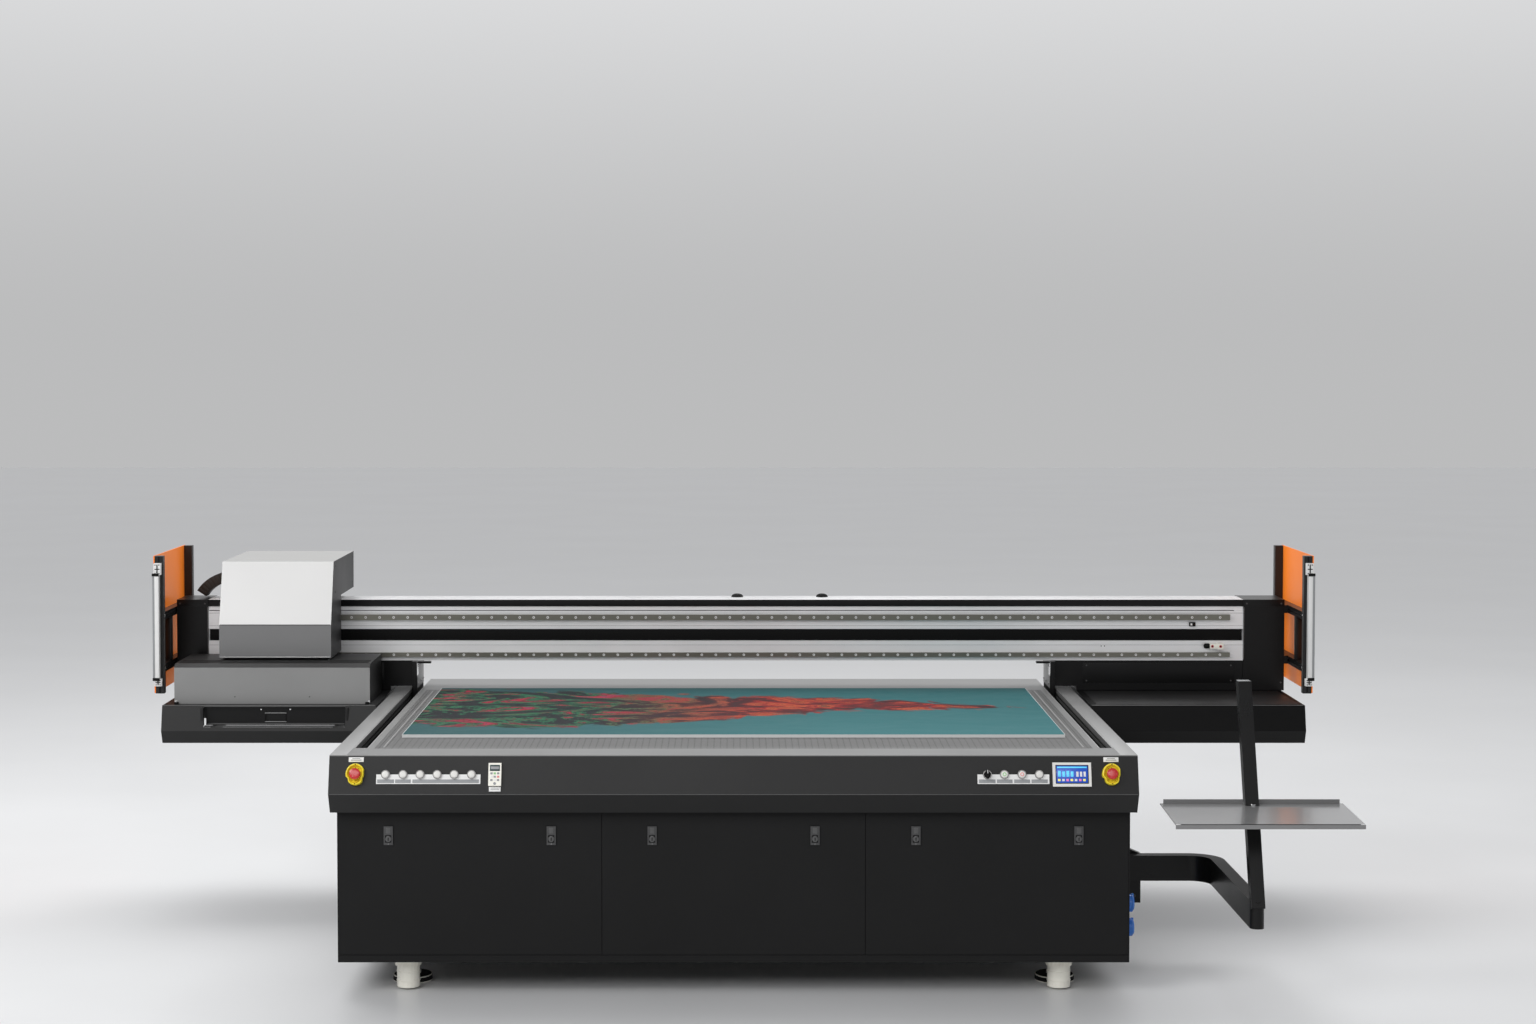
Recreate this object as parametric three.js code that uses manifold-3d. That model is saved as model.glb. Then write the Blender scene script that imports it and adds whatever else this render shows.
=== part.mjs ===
// Flatbed UV printer: a vacuum table on a steel cabinet, a gantry that runs along it,
// and a print head that runs along the gantry. Millimetres, +Z up, front towards -Y.
// The table is modelled about its own centre; the last lines move the whole printer so
// that its origin is on the floor under the middle of its bounding box.
import * as THREE from "three";
import { mergeVertices } from "three/addons/utils/BufferGeometryUtils.js";
import Module from "manifold-3d";

const wasm = await Module();
wasm.setup();

// ---- driving dimensions ----
const GAP = 0.5;                                   // between pieces that touch
const SHEET = 4;                                   // folded sheet metal
const BED_Z = 880;                                 // height of the print surface
const TABLE = { halfX: 1450, front: -1062, rear: 1062, thick: 40 };
const SLOT = { inner: 1338, outer: 1382, front: -895 };
const BED = { halfX: 1311, front: -905, rear: 700, skin: 10, rib: 34 };
const BOARD = { halfX: 1243, front: -649, rear: 661, thick: 12 };
const CABINET = { halfX: 1431, front: -1020, rear: 1020, floor: 120, top: BED_Z - TABLE.thick - GAP };
const DOOR = { bottom: 148, top: 669, split: 476, count: 3 };
const LATCH = { z: 570, fromSplit: 182, r: 11 };
const FASCIA = { foldY: -1103, foldZ: 746, bottomZ: 673 };
const TUBE = 40;                                   // base frame tube
const RAIL_Z = 680;                                // top of the side beams that carry the Y rails
const FOOT = { x: 1190, jackY: 908, padY: 780, jackR: 42, padR: 72 };
const BEAM = { left: -2252, right: 2186, front: 752, rear: 907, bottom: 1000, top: 1262 };
const X_RAIL = { left: -2200, right: 2127, depth: 19, upper: [1175, 1199], lower: [1017, 1036] };
const BELT = { bottom: 1085, top: 1136, recess: 6 };
const UPRIGHT = { inner: 1354, outer: 1376, front: 715, rear: 935 };
const WING = { rear: 900, bottom: 871, step: 1472 };
const CAP = { leftX: -2388, rightX: 2363, rear: 940 };
const TRAY = {
  inner: 1472, outer: 2352, front: 290, foldY: 265, foldZ: 768, rear: 1000, bottom: 715, top: 870,
};
const DRAWER = { left: -2180, right: -1597, front: 312, rear: 640, bottom: 786, top: 864 };
const STATION = { left: -2311, right: -1503, front: 335, rear: 689, top: 1036, chamfer: 14 };
const HEAD = {
  left: -2151, right: -1683.5, front: 471, foldZ: 1183, topFront: 553, top: 1442, rear: 1120,
  under: 1283, bottom: 1045, back: 750,
};
const CARRIAGE = { plateFront: 700, plateThick: 13, blockLength: 90 };
const PRINT = { left: -2125, right: -1709, front: 486, rear: 672, bottom: 1048, top: 1180 };
const GUARD = { x: 2390, size: 35, front: 500, rear: 1075, bottom: 891, top: 1469 };
const STAND = {
  armY: -450, armX: 1839, armEnd: -1298, armW: 50, armZ: [303, 400], bend: 100,
  lean: THREE.MathUtils.degToRad(20), postW: 48, postD: 42, postTop: 1142,
};
const SHELF = {
  left: 1516, right: 2167, front: -1484, rear: -1148, z: 719, tilt: THREE.MathUtils.degToRad(2.5),
};
const BUTTON = { r: 12, bezelR: 15.5, bezelH: 9, proud: 14, under: 5.5 };
const BUTTONS_LEFT = [-1246, -1183, -1122, -1061, -1000, -938];
const BUTTONS_RIGHT = [969, 1032, 1094];
const SELECTOR_X = 908;
const ESTOP_X = 1353;

// ---- materials ----
const finish = (color, roughness, metalness) =>
  new THREE.MeshStandardMaterial({ color, roughness, metalness });
const black = finish(0x202020, 0.5, 0.2);
const textured = finish(0x2b2b2c, 0.7, 0.1);
const silver = finish(0xc9c7c4, 0.35, 0.6);
const grey = finish(0x8b8a88, 0.45, 0.5);
const aluminium = finish(0xb9b9ba, 0.35, 0.8);
const steel = finish(0x8d8b86, 0.3, 0.9);
const bedMetal = finish(0x777675, 0.5, 0.6);
const teal = finish(0x3d8f92, 0.4, 0);
const orange = finish(0xe08030, 0.25, 0);
const yellow = finish(0xe8cf1c, 0.4, 0);
const red = finish(0xc03028, 0.35, 0);
const green = finish(0x9ad08a, 0.35, 0);
const cream = finish(0xece9dc, 0.45, 0);
const rubber = finish(0x161616, 0.8, 0);
const blue = finish(0x2f62b8, 0.4, 0);

const printer = new THREE.Group();

// ---- shape helpers ----
// A closed three.js geometry as a manifold solid.
function solid(geometry) {
  geometry.deleteAttribute("normal");
  geometry.deleteAttribute("uv");
  const merged = mergeVertices(geometry, 1e-4);
  return new wasm.Manifold(new wasm.Mesh({
    numProp: 3,
    vertProperties: new Float32Array(merged.attributes.position.array),
    triVerts: new Uint32Array(merged.index.array),
  }));
}

// A box from its low and high faces.
function box([x0, x1], [y0, y1], [z0, z1]) {
  const geometry = new THREE.BoxGeometry(x1 - x0, y1 - y0, z1 - z0);
  return solid(geometry.translate((x0 + x1) / 2, (y0 + y1) / 2, (z0 + z1) / 2));
}

// An outline of [a, b] points, or a ready Shape, pushed along one axis.
function prism(outline, along, low, high) {
  const points = Array.isArray(outline) ? outline.map(([a, b]) => new THREE.Vector2(a, b)) : null;
  const shape = points ? new THREE.Shape(points) : outline;
  const options = { depth: high - low, bevelEnabled: false, curveSegments: 8 };
  const geometry = new THREE.ExtrudeGeometry(shape, options);
  if (along === "x") {
    geometry.applyMatrix4(new THREE.Matrix4().makeBasis(
      new THREE.Vector3(0, 1, 0), new THREE.Vector3(0, 0, 1), new THREE.Vector3(1, 0, 0)));
    geometry.translate(low, 0, 0);
  } else if (along === "y") {
    geometry.applyMatrix4(new THREE.Matrix4().makeBasis(
      new THREE.Vector3(1, 0, 0), new THREE.Vector3(0, 0, 1), new THREE.Vector3(0, -1, 0)));
    geometry.translate(0, high, 0);
  } else {
    geometry.translate(0, 0, low);
  }
  return solid(geometry);
}

// A cylinder along x, y or z, with its axis at (a, b) across that direction.
function cylinder(r, [low, high], along, [a, b], sides = 16) {
  const geometry = new THREE.CylinderGeometry(r, r, high - low, sides);
  const middle = (low + high) / 2;
  if (along === "z") geometry.rotateX(Math.PI / 2).translate(a, b, middle);
  else if (along === "x") geometry.rotateZ(Math.PI / 2).translate(middle, a, b);
  else geometry.translate(a, middle, b);
  return solid(geometry);
}

const join = (...solids) => solids.reduce((whole, piece) => whole.add(piece));
const cut = (whole, ...tools) => tools.reduce((rest, tool) => rest.subtract(tool), whole);
const swap = ([low, high]) => [-high, -low];
const mirror = (side, span) => (side > 0 ? span : swap(span));

// One named piece of the printer.
function piece(name, shape, material, parent = printer) {
  const mesh = shape.getMesh();
  const geometry = new THREE.BufferGeometry();
  geometry.setAttribute("position", new THREE.BufferAttribute(mesh.vertProperties, 3));
  geometry.setIndex(new THREE.BufferAttribute(mesh.triVerts, 1));
  geometry.computeVertexNormals();
  const part = new THREE.Mesh(geometry, material);
  part.name = name;
  parent.add(part);
  return part;
}

// ---- table and cabinet ----
function tableFrame() {
  const z = [BED_Z - TABLE.thick, BED_Z];
  const plate = box([-TABLE.halfX, TABLE.halfX], [TABLE.front, TABLE.rear], z);
  const cutZ = [z[0] - 1, z[1] + 1];
  const pocket = box([-BED.halfX - GAP, BED.halfX + GAP], [BED.front - GAP, BED.rear + GAP], cutZ);
  const slots = [-1, 1].map((side) =>
    box(mirror(side, [SLOT.inner, SLOT.outer]), [SLOT.front, TABLE.rear + 1], cutZ));
  piece("table_frame", cut(plate, pocket, ...slots), aluminium);
}

function vacuumBed() {
  const skin = box([-BED.halfX, BED.halfX], [BED.front, BED.rear], [BED_Z - BED.skin, BED_Z]);
  const ribSpan = [BED_Z - BED.skin - BED.rib, BED_Z - BED.skin];
  const ribs = [-3, -2, -1, 0, 1, 2, 3].map((step) =>
    box([step * 420 - 15, step * 420 + 15], [BED.front + 10, BED.rear - 10], ribSpan));
  piece("vacuum_bed", join(skin, ...ribs), bedMetal);
  const board = box([-BOARD.halfX, BOARD.halfX], [BOARD.front, BOARD.rear],
    [BED_Z + GAP, BED_Z + GAP + BOARD.thick]);
  piece("print_board", board, teal);
}

// A square tube along x or y, its middle at that height on the other axis.
function bar(axis, at, [low, high], z0) {
  const across = [at - TUBE / 2, at + TUBE / 2];
  const z = [z0, z0 + TUBE];
  return axis === "x" ? box([low, high], across, z) : box(across, [low, high], z);
}

function post(x, y, z) {
  return box([x - TUBE / 2, x + TUBE / 2], [y - TUBE / 2, y + TUBE / 2], z);
}

function baseFrame() {
  const floor = CABINET.floor + SHEET + GAP;
  const top = CABINET.top - TUBE;
  const underRibs = BED_Z - BED.skin - BED.rib - GAP - TUBE;
  const outX = 1395;
  const outY = 990;
  const innerX = 1290;
  const solids = [];
  for (const y of [-outY, outY]) {
    for (const z of [floor, top]) solids.push(bar("x", y, [-outX - TUBE / 2, outX + TUBE / 2], z));
    for (const x of [-outX, -DOOR.split, DOOR.split, outX]) solids.push(post(x, y, [floor, CABINET.top]));
  }
  for (const x of [-innerX, -DOOR.split, DOOR.split, innerX]) solids.push(bar("y", x, [-outY, outY], floor));
  for (const y of [-800, 640]) {
    solids.push(bar("x", y, [-innerX - TUBE / 2, innerX + TUBE / 2], underRibs));
    for (const x of [-innerX, innerX]) solids.push(post(x, y, [floor, underRibs + TUBE]));
  }
  for (const side of [-1, 1]) {
    solids.push(box(mirror(side, [1330, 1390]), [-outY, outY], [RAIL_Z - TUBE, RAIL_Z]));
    solids.push(box(mirror(side, [1342, 1358]), [-900, 965], [RAIL_Z - 1, RAIL_Z + 20]));
  }
  piece("base_frame", join(...solids), black);
}

function cabinetShell() {
  const { halfX, front, rear, floor, top } = CABINET;
  const walls = [
    box([-halfX, -halfX + SHEET], [front, rear], [floor, top]),
    box([halfX - SHEET, halfX], [front, rear], [floor, top]),
    box([-halfX, halfX], [rear - SHEET, rear], [floor, top]),
    box([-halfX, halfX], [front, rear], [floor, floor + SHEET]),
    box([-halfX, halfX], [front, front + SHEET], [floor, DOOR.bottom - 2]),
    box([-halfX, halfX], [front, front + SHEET], [DOOR.top + 2, top]),
  ];
  piece("cabinet_shell", join(...walls), black);
}

function doors() {
  const width = 2 * DOOR.split;
  const y = [CABINET.front, CABINET.front + SHEET];
  for (let n = 0; n < DOOR.count; n += 1) {
    const centre = (n - 1) * width;
    const outside = CABINET.halfX - SHEET - 1;
    const x = [Math.max(centre - DOOR.split + 1, -outside), Math.min(centre + DOOR.split - 1, outside)];
    let door = box(x, y, [DOOR.bottom, DOOR.top]);
    const fold = [DOOR.bottom + 40, DOOR.top - 40];
    for (const edge of [x[0] + 30, x[1] - 34]) {
      door = door.add(box([edge, edge + SHEET], [y[1] - 1, y[1] + 5], fold));
    }
    const label = ["left", "middle", "right"][n];
    for (const side of [-1, 1]) {
      const at = centre + side * (DOOR.split - LATCH.fromSplit);
      const pad = box([at - 17.5, at + 17.5], [y[0] - 3, y[0] + 1], [LATCH.z - 23, LATCH.z + 47]);
      door = cut(join(door, pad), cylinder(LATCH.r + 0.6, [y[0] - 10, y[1] + 10], "y", [at, LATCH.z]));
      const barrel = cylinder(LATCH.r, [y[0] - 5, y[1] + 2.5], "y", [at, LATCH.z]);
      const cam = box([at - 8, at + 8], [y[1] + 1, y[1] + 4], [LATCH.z - 8, LATCH.z + 34]);
      piece(`latch_${label}_${side < 0 ? "a" : "b"}`, join(barrel, cam), steel);
    }
    piece(`door_${label}`, door, black);
  }
}

function feet() {
  for (const [endName, end] of [["front", -1], ["rear", 1]]) {
    for (const [sideName, side] of [["left", -1], ["right", 1]]) {
      const x = side * FOOT.x;
      const jack = end * FOOT.jackY;
      const pad = end * FOOT.padY;
      const plateTop = CABINET.floor - GAP;
      const lowY = Math.min(jack, pad) - 60;
      const highY = Math.max(jack, pad) + 60;
      const solids = [
        box([x - 55, x + 65], [lowY, highY], [plateTop - 12, plateTop]),
        cylinder(FOOT.jackR, [8, plateTop - 22], "z", [x, jack], 20),
        cylinder(FOOT.jackR + 7, [plateTop - 32, plateTop - 6], "z", [x, jack], 20),
        cylinder(9, [0, 12], "z", [x, jack], 8),
        cylinder(FOOT.padR, [0, 22], "z", [x, pad], 24),
        cylinder(30, [20, 34], "z", [x, pad], 16),
        cylinder(13, [30, plateTop - 6], "z", [x, pad], 10),
      ];
      piece(`foot_${endName}_${sideName}`, join(...solids), cream);
    }
  }
}

// ---- control fascia and what is on it ----
function fasciaProfile(inset) {
  const top = BED_Z - TABLE.thick - GAP;
  const slopeY = TABLE.front + (FASCIA.foldY - TABLE.front) * (BED_Z - top) / (BED_Z - FASCIA.foldZ);
  return [[slopeY + inset, top], [FASCIA.foldY + inset, FASCIA.foldZ], [TABLE.front + inset, FASCIA.bottomZ]];
}

function controlFascia() {
  // The top edge of the table carries the same slope, so the panel is one flat face up to the bed.
  const outer = [[TABLE.front - GAP, BED_Z - 3], ...fasciaProfile(0).slice(1)];
  const inner = [[TABLE.front + SHEET, FASCIA.bottomZ], [FASCIA.foldY + SHEET + 1, FASCIA.foldZ],
    [TABLE.front - 3 - GAP, BED_Z - TABLE.thick - GAP], [TABLE.front - GAP, BED_Z - TABLE.thick - GAP]];
  const skin = prism([...outer, ...inner], "x", -TABLE.halfX, TABLE.halfX);
  const shelfZ = [CABINET.top - SHEET - 8, CABINET.top - 8];
  const web = box([-TABLE.halfX, TABLE.halfX], [FASCIA.foldY + 30, CABINET.front - GAP], shelfZ);
  const cheeks = [-1, 1].map((side) => prism(
    [[CABINET.front - GAP, CABINET.top], [TABLE.front - 2, CABINET.top], [FASCIA.foldY + 2, FASCIA.foldZ],
      [TABLE.front + 2, FASCIA.bottomZ], [CABINET.front - GAP, FASCIA.bottomZ]],
    "x", ...mirror(side, [TABLE.halfX - SHEET, TABLE.halfX])));
  piece("control_fascia", join(skin, web, ...cheeks), textured);
}

// The sloping panel's own frame: x along it, z up the slope, -y straight out of it.
const PANEL_Z = 813;
const panelSlope = Math.atan2(FASCIA.foldY - TABLE.front, BED_Z - FASCIA.foldZ);
const panel = new THREE.Group();
panel.position.set(0,
  TABLE.front + (FASCIA.foldY - TABLE.front) * (BED_Z - PANEL_Z) / (BED_Z - FASCIA.foldZ), PANEL_Z);
panel.rotation.x = panelSlope;
printer.add(panel);

function bezel(x) {
  const ring = cylinder(BUTTON.bezelR, [-BUTTON.bezelH, -GAP], "y", [x, 0]);
  return cut(ring, cylinder(BUTTON.r + 0.6, [-BUTTON.bezelH - 1, -1.2], "y", [x, 0]));
}

function buttonRow(plateName, [x0, x1], xs) {
  const plate = box([x0, x1], [-2.5, -GAP], [-33, 1]);
  const bores = xs.map((x) => cylinder(BUTTON.r + 0.6, [-5, -1.2], "y", [x, 0]));
  piece(plateName, cut(join(plate, ...xs.map(bezel)), ...bores), cream, panel);
}

function pushButton(name, x, material) {
  piece(name, cylinder(BUTTON.r, [-BUTTON.proud, -BUTTON.under], "y", [x, 0]), material, panel);
}

function emergencyStop(sideName, side) {
  const x = side * ESTOP_X;
  const collar = cylinder(35, [-30, -GAP], "y", [x, 0], 24);
  const hollow = cylinder(29, [-31, -5], "y", [x, 0], 24);
  const fingerGap = box([x - 40, x + 40], [-31, -14], [-17, 17]);
  const bore = cylinder(9, [-12, -2], "y", [x, 0]);
  piece(`estop_guard_${sideName}`, cut(collar, hollow, fingerGap, bore), yellow, panel);
  const mushroom = join(
    cylinder(20, [-36, -22], "y", [x, 0], 20),
    cylinder(14, [-23, -12], "y", [x, 0]),
    cylinder(8.4, [-13, -9], "y", [x, 0]));
  piece(`estop_button_${sideName}`, mushroom, red, panel);
}

function controls() {
  buttonRow("button_plate_left", [-1279, -906], BUTTONS_LEFT);
  buttonRow("button_plate_right", [873, 1130], [SELECTOR_X, ...BUTTONS_RIGHT]);
  BUTTONS_LEFT.forEach((x, n) => pushButton(`vacuum_button_${n + 1}`, x, cream));
  pushButton("start_button", BUTTONS_RIGHT[0], green);
  pushButton("stop_button", BUTTONS_RIGHT[1], red);
  pushButton("reset_button", BUTTONS_RIGHT[2], cream);
  const knob = join(
    cylinder(BUTTON.r, [-BUTTON.proud, -BUTTON.under + 3], "y", [SELECTOR_X, 0]),
    box([SELECTOR_X - 4.5, SELECTOR_X + 4.5], [-26, -BUTTON.proud + 1], [-15, 15]));
  piece("power_selector", knob, black, panel);
  emergencyStop("left", -1);
  emergencyStop("right", 1);
  piece("touch_screen", box([1142, 1280], [-9, -GAP], [-43, 43]), cream, panel);
  piece("pump_keypad", box([-877, -831], [-13, -GAP], [-41, 41]), cream, panel);
}

// ---- operator's shelf on its arm, and the power inlets ----
function shelfStand() {
  const { armY, armX, armEnd, armW, armZ, bend, lean } = STAND;
  const half = armW / 2;
  const start = CABINET.halfX + GAP;
  const outline = new THREE.Shape();
  outline.moveTo(start, armY - half);
  outline.lineTo(armX - bend, armY - half);
  outline.absarc(armX - bend, armY - bend, bend - half, Math.PI / 2, 0, true);
  outline.lineTo(armX - half, armEnd + half);
  outline.absarc(armX, armEnd + half, half, Math.PI, 2 * Math.PI, false);
  outline.lineTo(armX + half, armY - bend);
  outline.absarc(armX - bend, armY - bend, bend + half, 0, Math.PI / 2, false);
  outline.lineTo(start, armY + half);
  const arm = prism(outline, "z", ...armZ);
  const bracketOutline = [[start, 208], [1565, 208], [1565, 398], [1500, 425], [start, 425]];
  const bracket = prism(bracketOutline, "y", armY + 24, armY + 60);
  const length = (STAND.postTop - armZ[1]) / Math.cos(lean) + 30;
  const postGeometry = new THREE.BoxGeometry(STAND.postW, STAND.postD, length);
  postGeometry.translate(0, 0, length / 2 - 30).rotateX(-lean).translate(armX, armEnd + half, armZ[1]);
  const post = solid(postGeometry);
  const level = box([armX - 60, armX + 60], [armEnd - 60, armEnd + 400], [armZ[0] + 20, STAND.postTop]);
  piece("shelf_stand", join(arm, bracket, post.intersect(level)), black);

  const { left, right, front, rear, z, tilt } = SHELF;
  const run = rear - front;
  const postFace = armEnd + half + (z - armZ[1]) * Math.tan(lean);
  const notch = [armX - STAND.postW / 2 - 4, armX + STAND.postW / 2 + 4];
  const sheet = join(
    box([left, right], [0, run], [0, 3]),
    box([left, right], [0, 3], [-12, 3]),
    box([left + 12, right - 12], [run - 3, run], [0, 18]));
  const opening = box(notch, [postFace - front - 34, run + 1], [-20, 40]);
  const earSpans = [[notch[0] - 6, notch[0]], [notch[1], notch[1] + 6]];
  const ears = earSpans.map((span) => box(span, [postFace - front - 60, run - 6], [-40, 1]));
  const shelf = piece("laptop_shelf", join(cut(sheet, opening), ...ears), grey);
  shelf.position.set(0, front, z - run * Math.sin(tilt));
  shelf.rotation.x = tilt;
}

function powerInlets() {
  const x0 = CABINET.halfX + GAP;
  const plate = box([x0, x0 + 4], [-945, -855], [180, 352]);
  const sockets = [311, 222].map((z) => join(
    cylinder(30, [x0 + 2, x0 + 24], "x", [-900, z]),
    cylinder(24, [x0 + 20, x0 + 32], "x", [-900, z])));
  piece("power_inlets", join(plate, ...sockets), blue);
}

function vacuumBlower() {
  const z0 = CABINET.floor + SHEET + TUBE + 2 * GAP;
  const solids = [
    box([-150, 150], [-120, 260], [z0 - TUBE, z0 + 14]),
    cylinder(170, [-60, 60], "y", [0, z0 + 180], 24),
    cylinder(95, [58, 250], "y", [0, z0 + 180], 20),
    box([-60, 60], [-50, 50], [z0, z0 + 60]),
    box([60, 168], [-50, 50], [z0 + 180, z0 + 420]),
  ];
  piece("vacuum_blower", join(...solids), grey);
}

// ---- gantry ----
function beam() {
  const { left, right, front, rear, bottom, top } = BEAM;
  const coverLow = 1232;
  const outline = new THREE.Shape([
    [front, bottom], [rear, bottom], [rear, top], [front, top],
    [front, coverLow], [front + 3, coverLow - 3], [front + 3, 1216], [front, 1214],
    [front, BELT.top], [front + BELT.recess, BELT.top],
    [front + BELT.recess, BELT.bottom], [front, BELT.bottom],
  ].map(([a, b]) => new THREE.Vector2(a, b)));
  for (const [z0, z1] of [[bottom + 10, 1122], [1132, top - 12]]) {
    const chamber = [[front + 16, z0], [rear - 10, z0], [rear - 10, z1], [front + 16, z1]];
    outline.holes.push(new THREE.Path(chamber.map(([a, b]) => new THREE.Vector2(a, b))));
  }
  piece("gantry_beam", prism(outline, "x", left, right), aluminium);
  for (const [name, z] of [["upper", X_RAIL.upper], ["lower", X_RAIL.lower]]) {
    const rail = box([X_RAIL.left, X_RAIL.right], [front - GAP - X_RAIL.depth, front - GAP], z);
    piece(`head_rail_${name}`, rail, steel);
  }
}

function wing(sideName, side) {
  const end = (side > 0 ? BEAM.right : -BEAM.left) - GAP;
  const underBeam = BEAM.bottom - GAP;
  const y = [UPRIGHT.front, UPRIGHT.rear];
  const yBox = [BEAM.front, WING.rear];
  const outside = join(
    box(mirror(side, [UPRIGHT.outer - 1, end]), yBox, [BED_Z + 10, underBeam]),
    box(mirror(side, [WING.step, end]), yBox, [WING.bottom, BED_Z + 12]));
  const upright = box(mirror(side, [UPRIGHT.inner, UPRIGHT.outer]), y, [735, underBeam]);
  const block = cut(
    box(mirror(side, [1328, UPRIGHT.outer]), y, [RAIL_Z + 4, 745]),
    box(mirror(side, [1341, 1359]), [y[0] - 1, y[1] + 1], [RAIL_Z, RAIL_Z + 21]));
  piece(`gantry_wing_${sideName}`, join(outside, upright, block), black);
}

function endCap(sideName, side) {
  const x = side > 0 ? [BEAM.right + GAP, CAP.rightX] : [CAP.leftX, BEAM.left - GAP];
  const y = [BEAM.front - 2, CAP.rear];
  const z = [WING.bottom, BEAM.top];
  const inside = box([x[0] + SHEET, x[1] - SHEET], [y[0] + SHEET, y[1] - SHEET], [z[0] - 1, z[1] - SHEET]);
  piece(`end_cap_${sideName}`, cut(box(x, y, z), inside), black);
}

// The trays are folded pans, open underneath.
function trayProfile(inset) {
  const { front, foldY, foldZ, rear, bottom, top } = TRAY;
  const low = inset > 0 ? bottom - 1 : bottom;
  return [[front + inset, top - inset], [foldY + inset, foldZ], [front + inset, low],
    [rear - inset, low], [rear - inset, top - inset]];
}

function tray(sideName, side) {
  const span = mirror(side, [TRAY.inner, TRAY.outer]);
  const inside = prism(trayProfile(SHEET), "x", span[0] + SHEET, span[1] - SHEET);
  const shell = cut(prism(trayProfile(0), "x", ...span), inside);
  if (side > 0) return piece(`wing_tray_${sideName}`, shell, textured);
  const mouthZ = [DRAWER.bottom - 3, DRAWER.top];
  const mouth = box([DRAWER.left, DRAWER.right], [TRAY.foldY - 1, TRAY.front + 30], mouthZ);
  const runners = [DRAWER.left + 30, DRAWER.right - 50].map((x) =>
    box([x, x + 20], [TRAY.foldY + 5, TRAY.rear - 2], [TRAY.foldZ - 8, DRAWER.bottom - 1]));
  return piece(`wing_tray_${sideName}`, join(cut(shell, mouth), ...runners), textured);
}

function drawer() {
  const { left, right, front, rear, bottom, top } = DRAWER;
  const tub = cut(
    box([left + 6, right - 6], [front, rear], [bottom, top - 16]),
    box([left + 9, right - 9], [front + 6, rear - 3], [bottom + 3, top]));
  const face = box([left + 4, right - 4], [front, front + 5], [bottom, top - 3]);
  const middle = (left + right) / 2;
  const pull = box([middle - 41, middle + 41], [front - 1, front + 3], [802, 835]);
  piece("waste_drawer", cut(join(tub, face), pull), black);
}

function capStation() {
  const { left, right, front, rear, top, chamfer } = STATION;
  const low = TRAY.top + GAP;
  const outline = (inset) => [
    [front + inset, low + inset], [front + inset, top - chamfer], [front + 20, top - inset],
    [rear - inset, top - inset], [rear - inset, low + inset],
  ];
  const inside = prism(outline(SHEET), "x", left + SHEET, right - SHEET);
  const shell = cut(prism(outline(0), "x", left, right), inside);
  const well = box([PRINT.left - 14, PRINT.right + 14], [PRINT.front - 8, rear - 8], [low + 40, top + 1]);
  const caps = [0, 1, 2].map((n) => {
    const x = PRINT.left + 60 + n * 120;
    return cut(
      box([x, x + 60], [PRINT.front + 30, PRINT.rear - 40], [low, low + 36]),
      box([x + 6, x + 54], [PRINT.front + 36, PRINT.rear - 46], [low + 24, low + 40]));
  });
  piece("cap_station", join(cut(shell, well), ...caps), grey);
}

function guard(sideName, side) {
  const { x, size, front, rear, bottom, top } = GUARD;
  const across = mirror(side, [x, x + size]);
  const capFace = side > 0 ? CAP.rightX + GAP : -CAP.leftX + GAP;
  const solids = [
    box(across, [front, front + size], [bottom, top]),
    box(across, [rear, rear + size], [bottom, top]),
    ...[[1199, 1233], [980, 1014]].flatMap((z) => [
      box(across, [front, rear + 1], z),
      box(mirror(side, [capFace, x + 1]), [800, 880], z)]),
    box(mirror(side, [x + 4, x + size - 6]), [655, 690], [1010, 1203]),
    // the light curtain stands on two brackets in front of the front post
    box(mirror(side, [x + 12, x + 41]), [front - 29, front - 4], [949, 1399]),
    ...[[925, 955], [1392, 1440]].map((z) => box(mirror(side, [x + 5, x + 34]), [front - 24, front + 1], z)),
  ];
  piece(`guard_frame_${sideName}`, join(...solids), black);
  const paneX = mirror(side, [x + size + GAP, x + size + GAP + 5]);
  const pane = box(paneX, [front + 2, rear + size], [bottom + 2, top + 1]);
  piece(`guard_window_${sideName}`, pane, orange);
}

// ---- print head ----
function headCover() {
  const { left, right, front, foldZ, topFront, top, rear, under, bottom, back } = HEAD;
  const outer = prism([[front, bottom], [front, foldZ], [topFront, top], [rear, top], [rear - 4, under],
    [back, under], [back, bottom]], "x", left, right);
  const t = SHEET;
  const innerOutline = [
    [front + t, bottom - 1], [front + t, foldZ - 1], [topFront + t, top - t], [rear - t, top - t],
    [rear - 4 - t, under + t], [back - t - 4, under + t], [back - t - 4, under - 10],
    [back + 1, under - 10], [back + 1, bottom - 1],
  ];
  const inner = prism(innerOutline, "x", left + t, right - t);
  const notchY = [BEAM.front - GAP - X_RAIL.depth - 2, back + 1];
  const railNotches = [X_RAIL.upper, X_RAIL.lower].map((z) =>
    box([left - 1, right + 1], notchY, [Math.max(z[0] - 3, bottom - 1), z[1] + 3]));
  piece("head_cover", cut(outer, inner, ...railNotches), silver);
}

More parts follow.
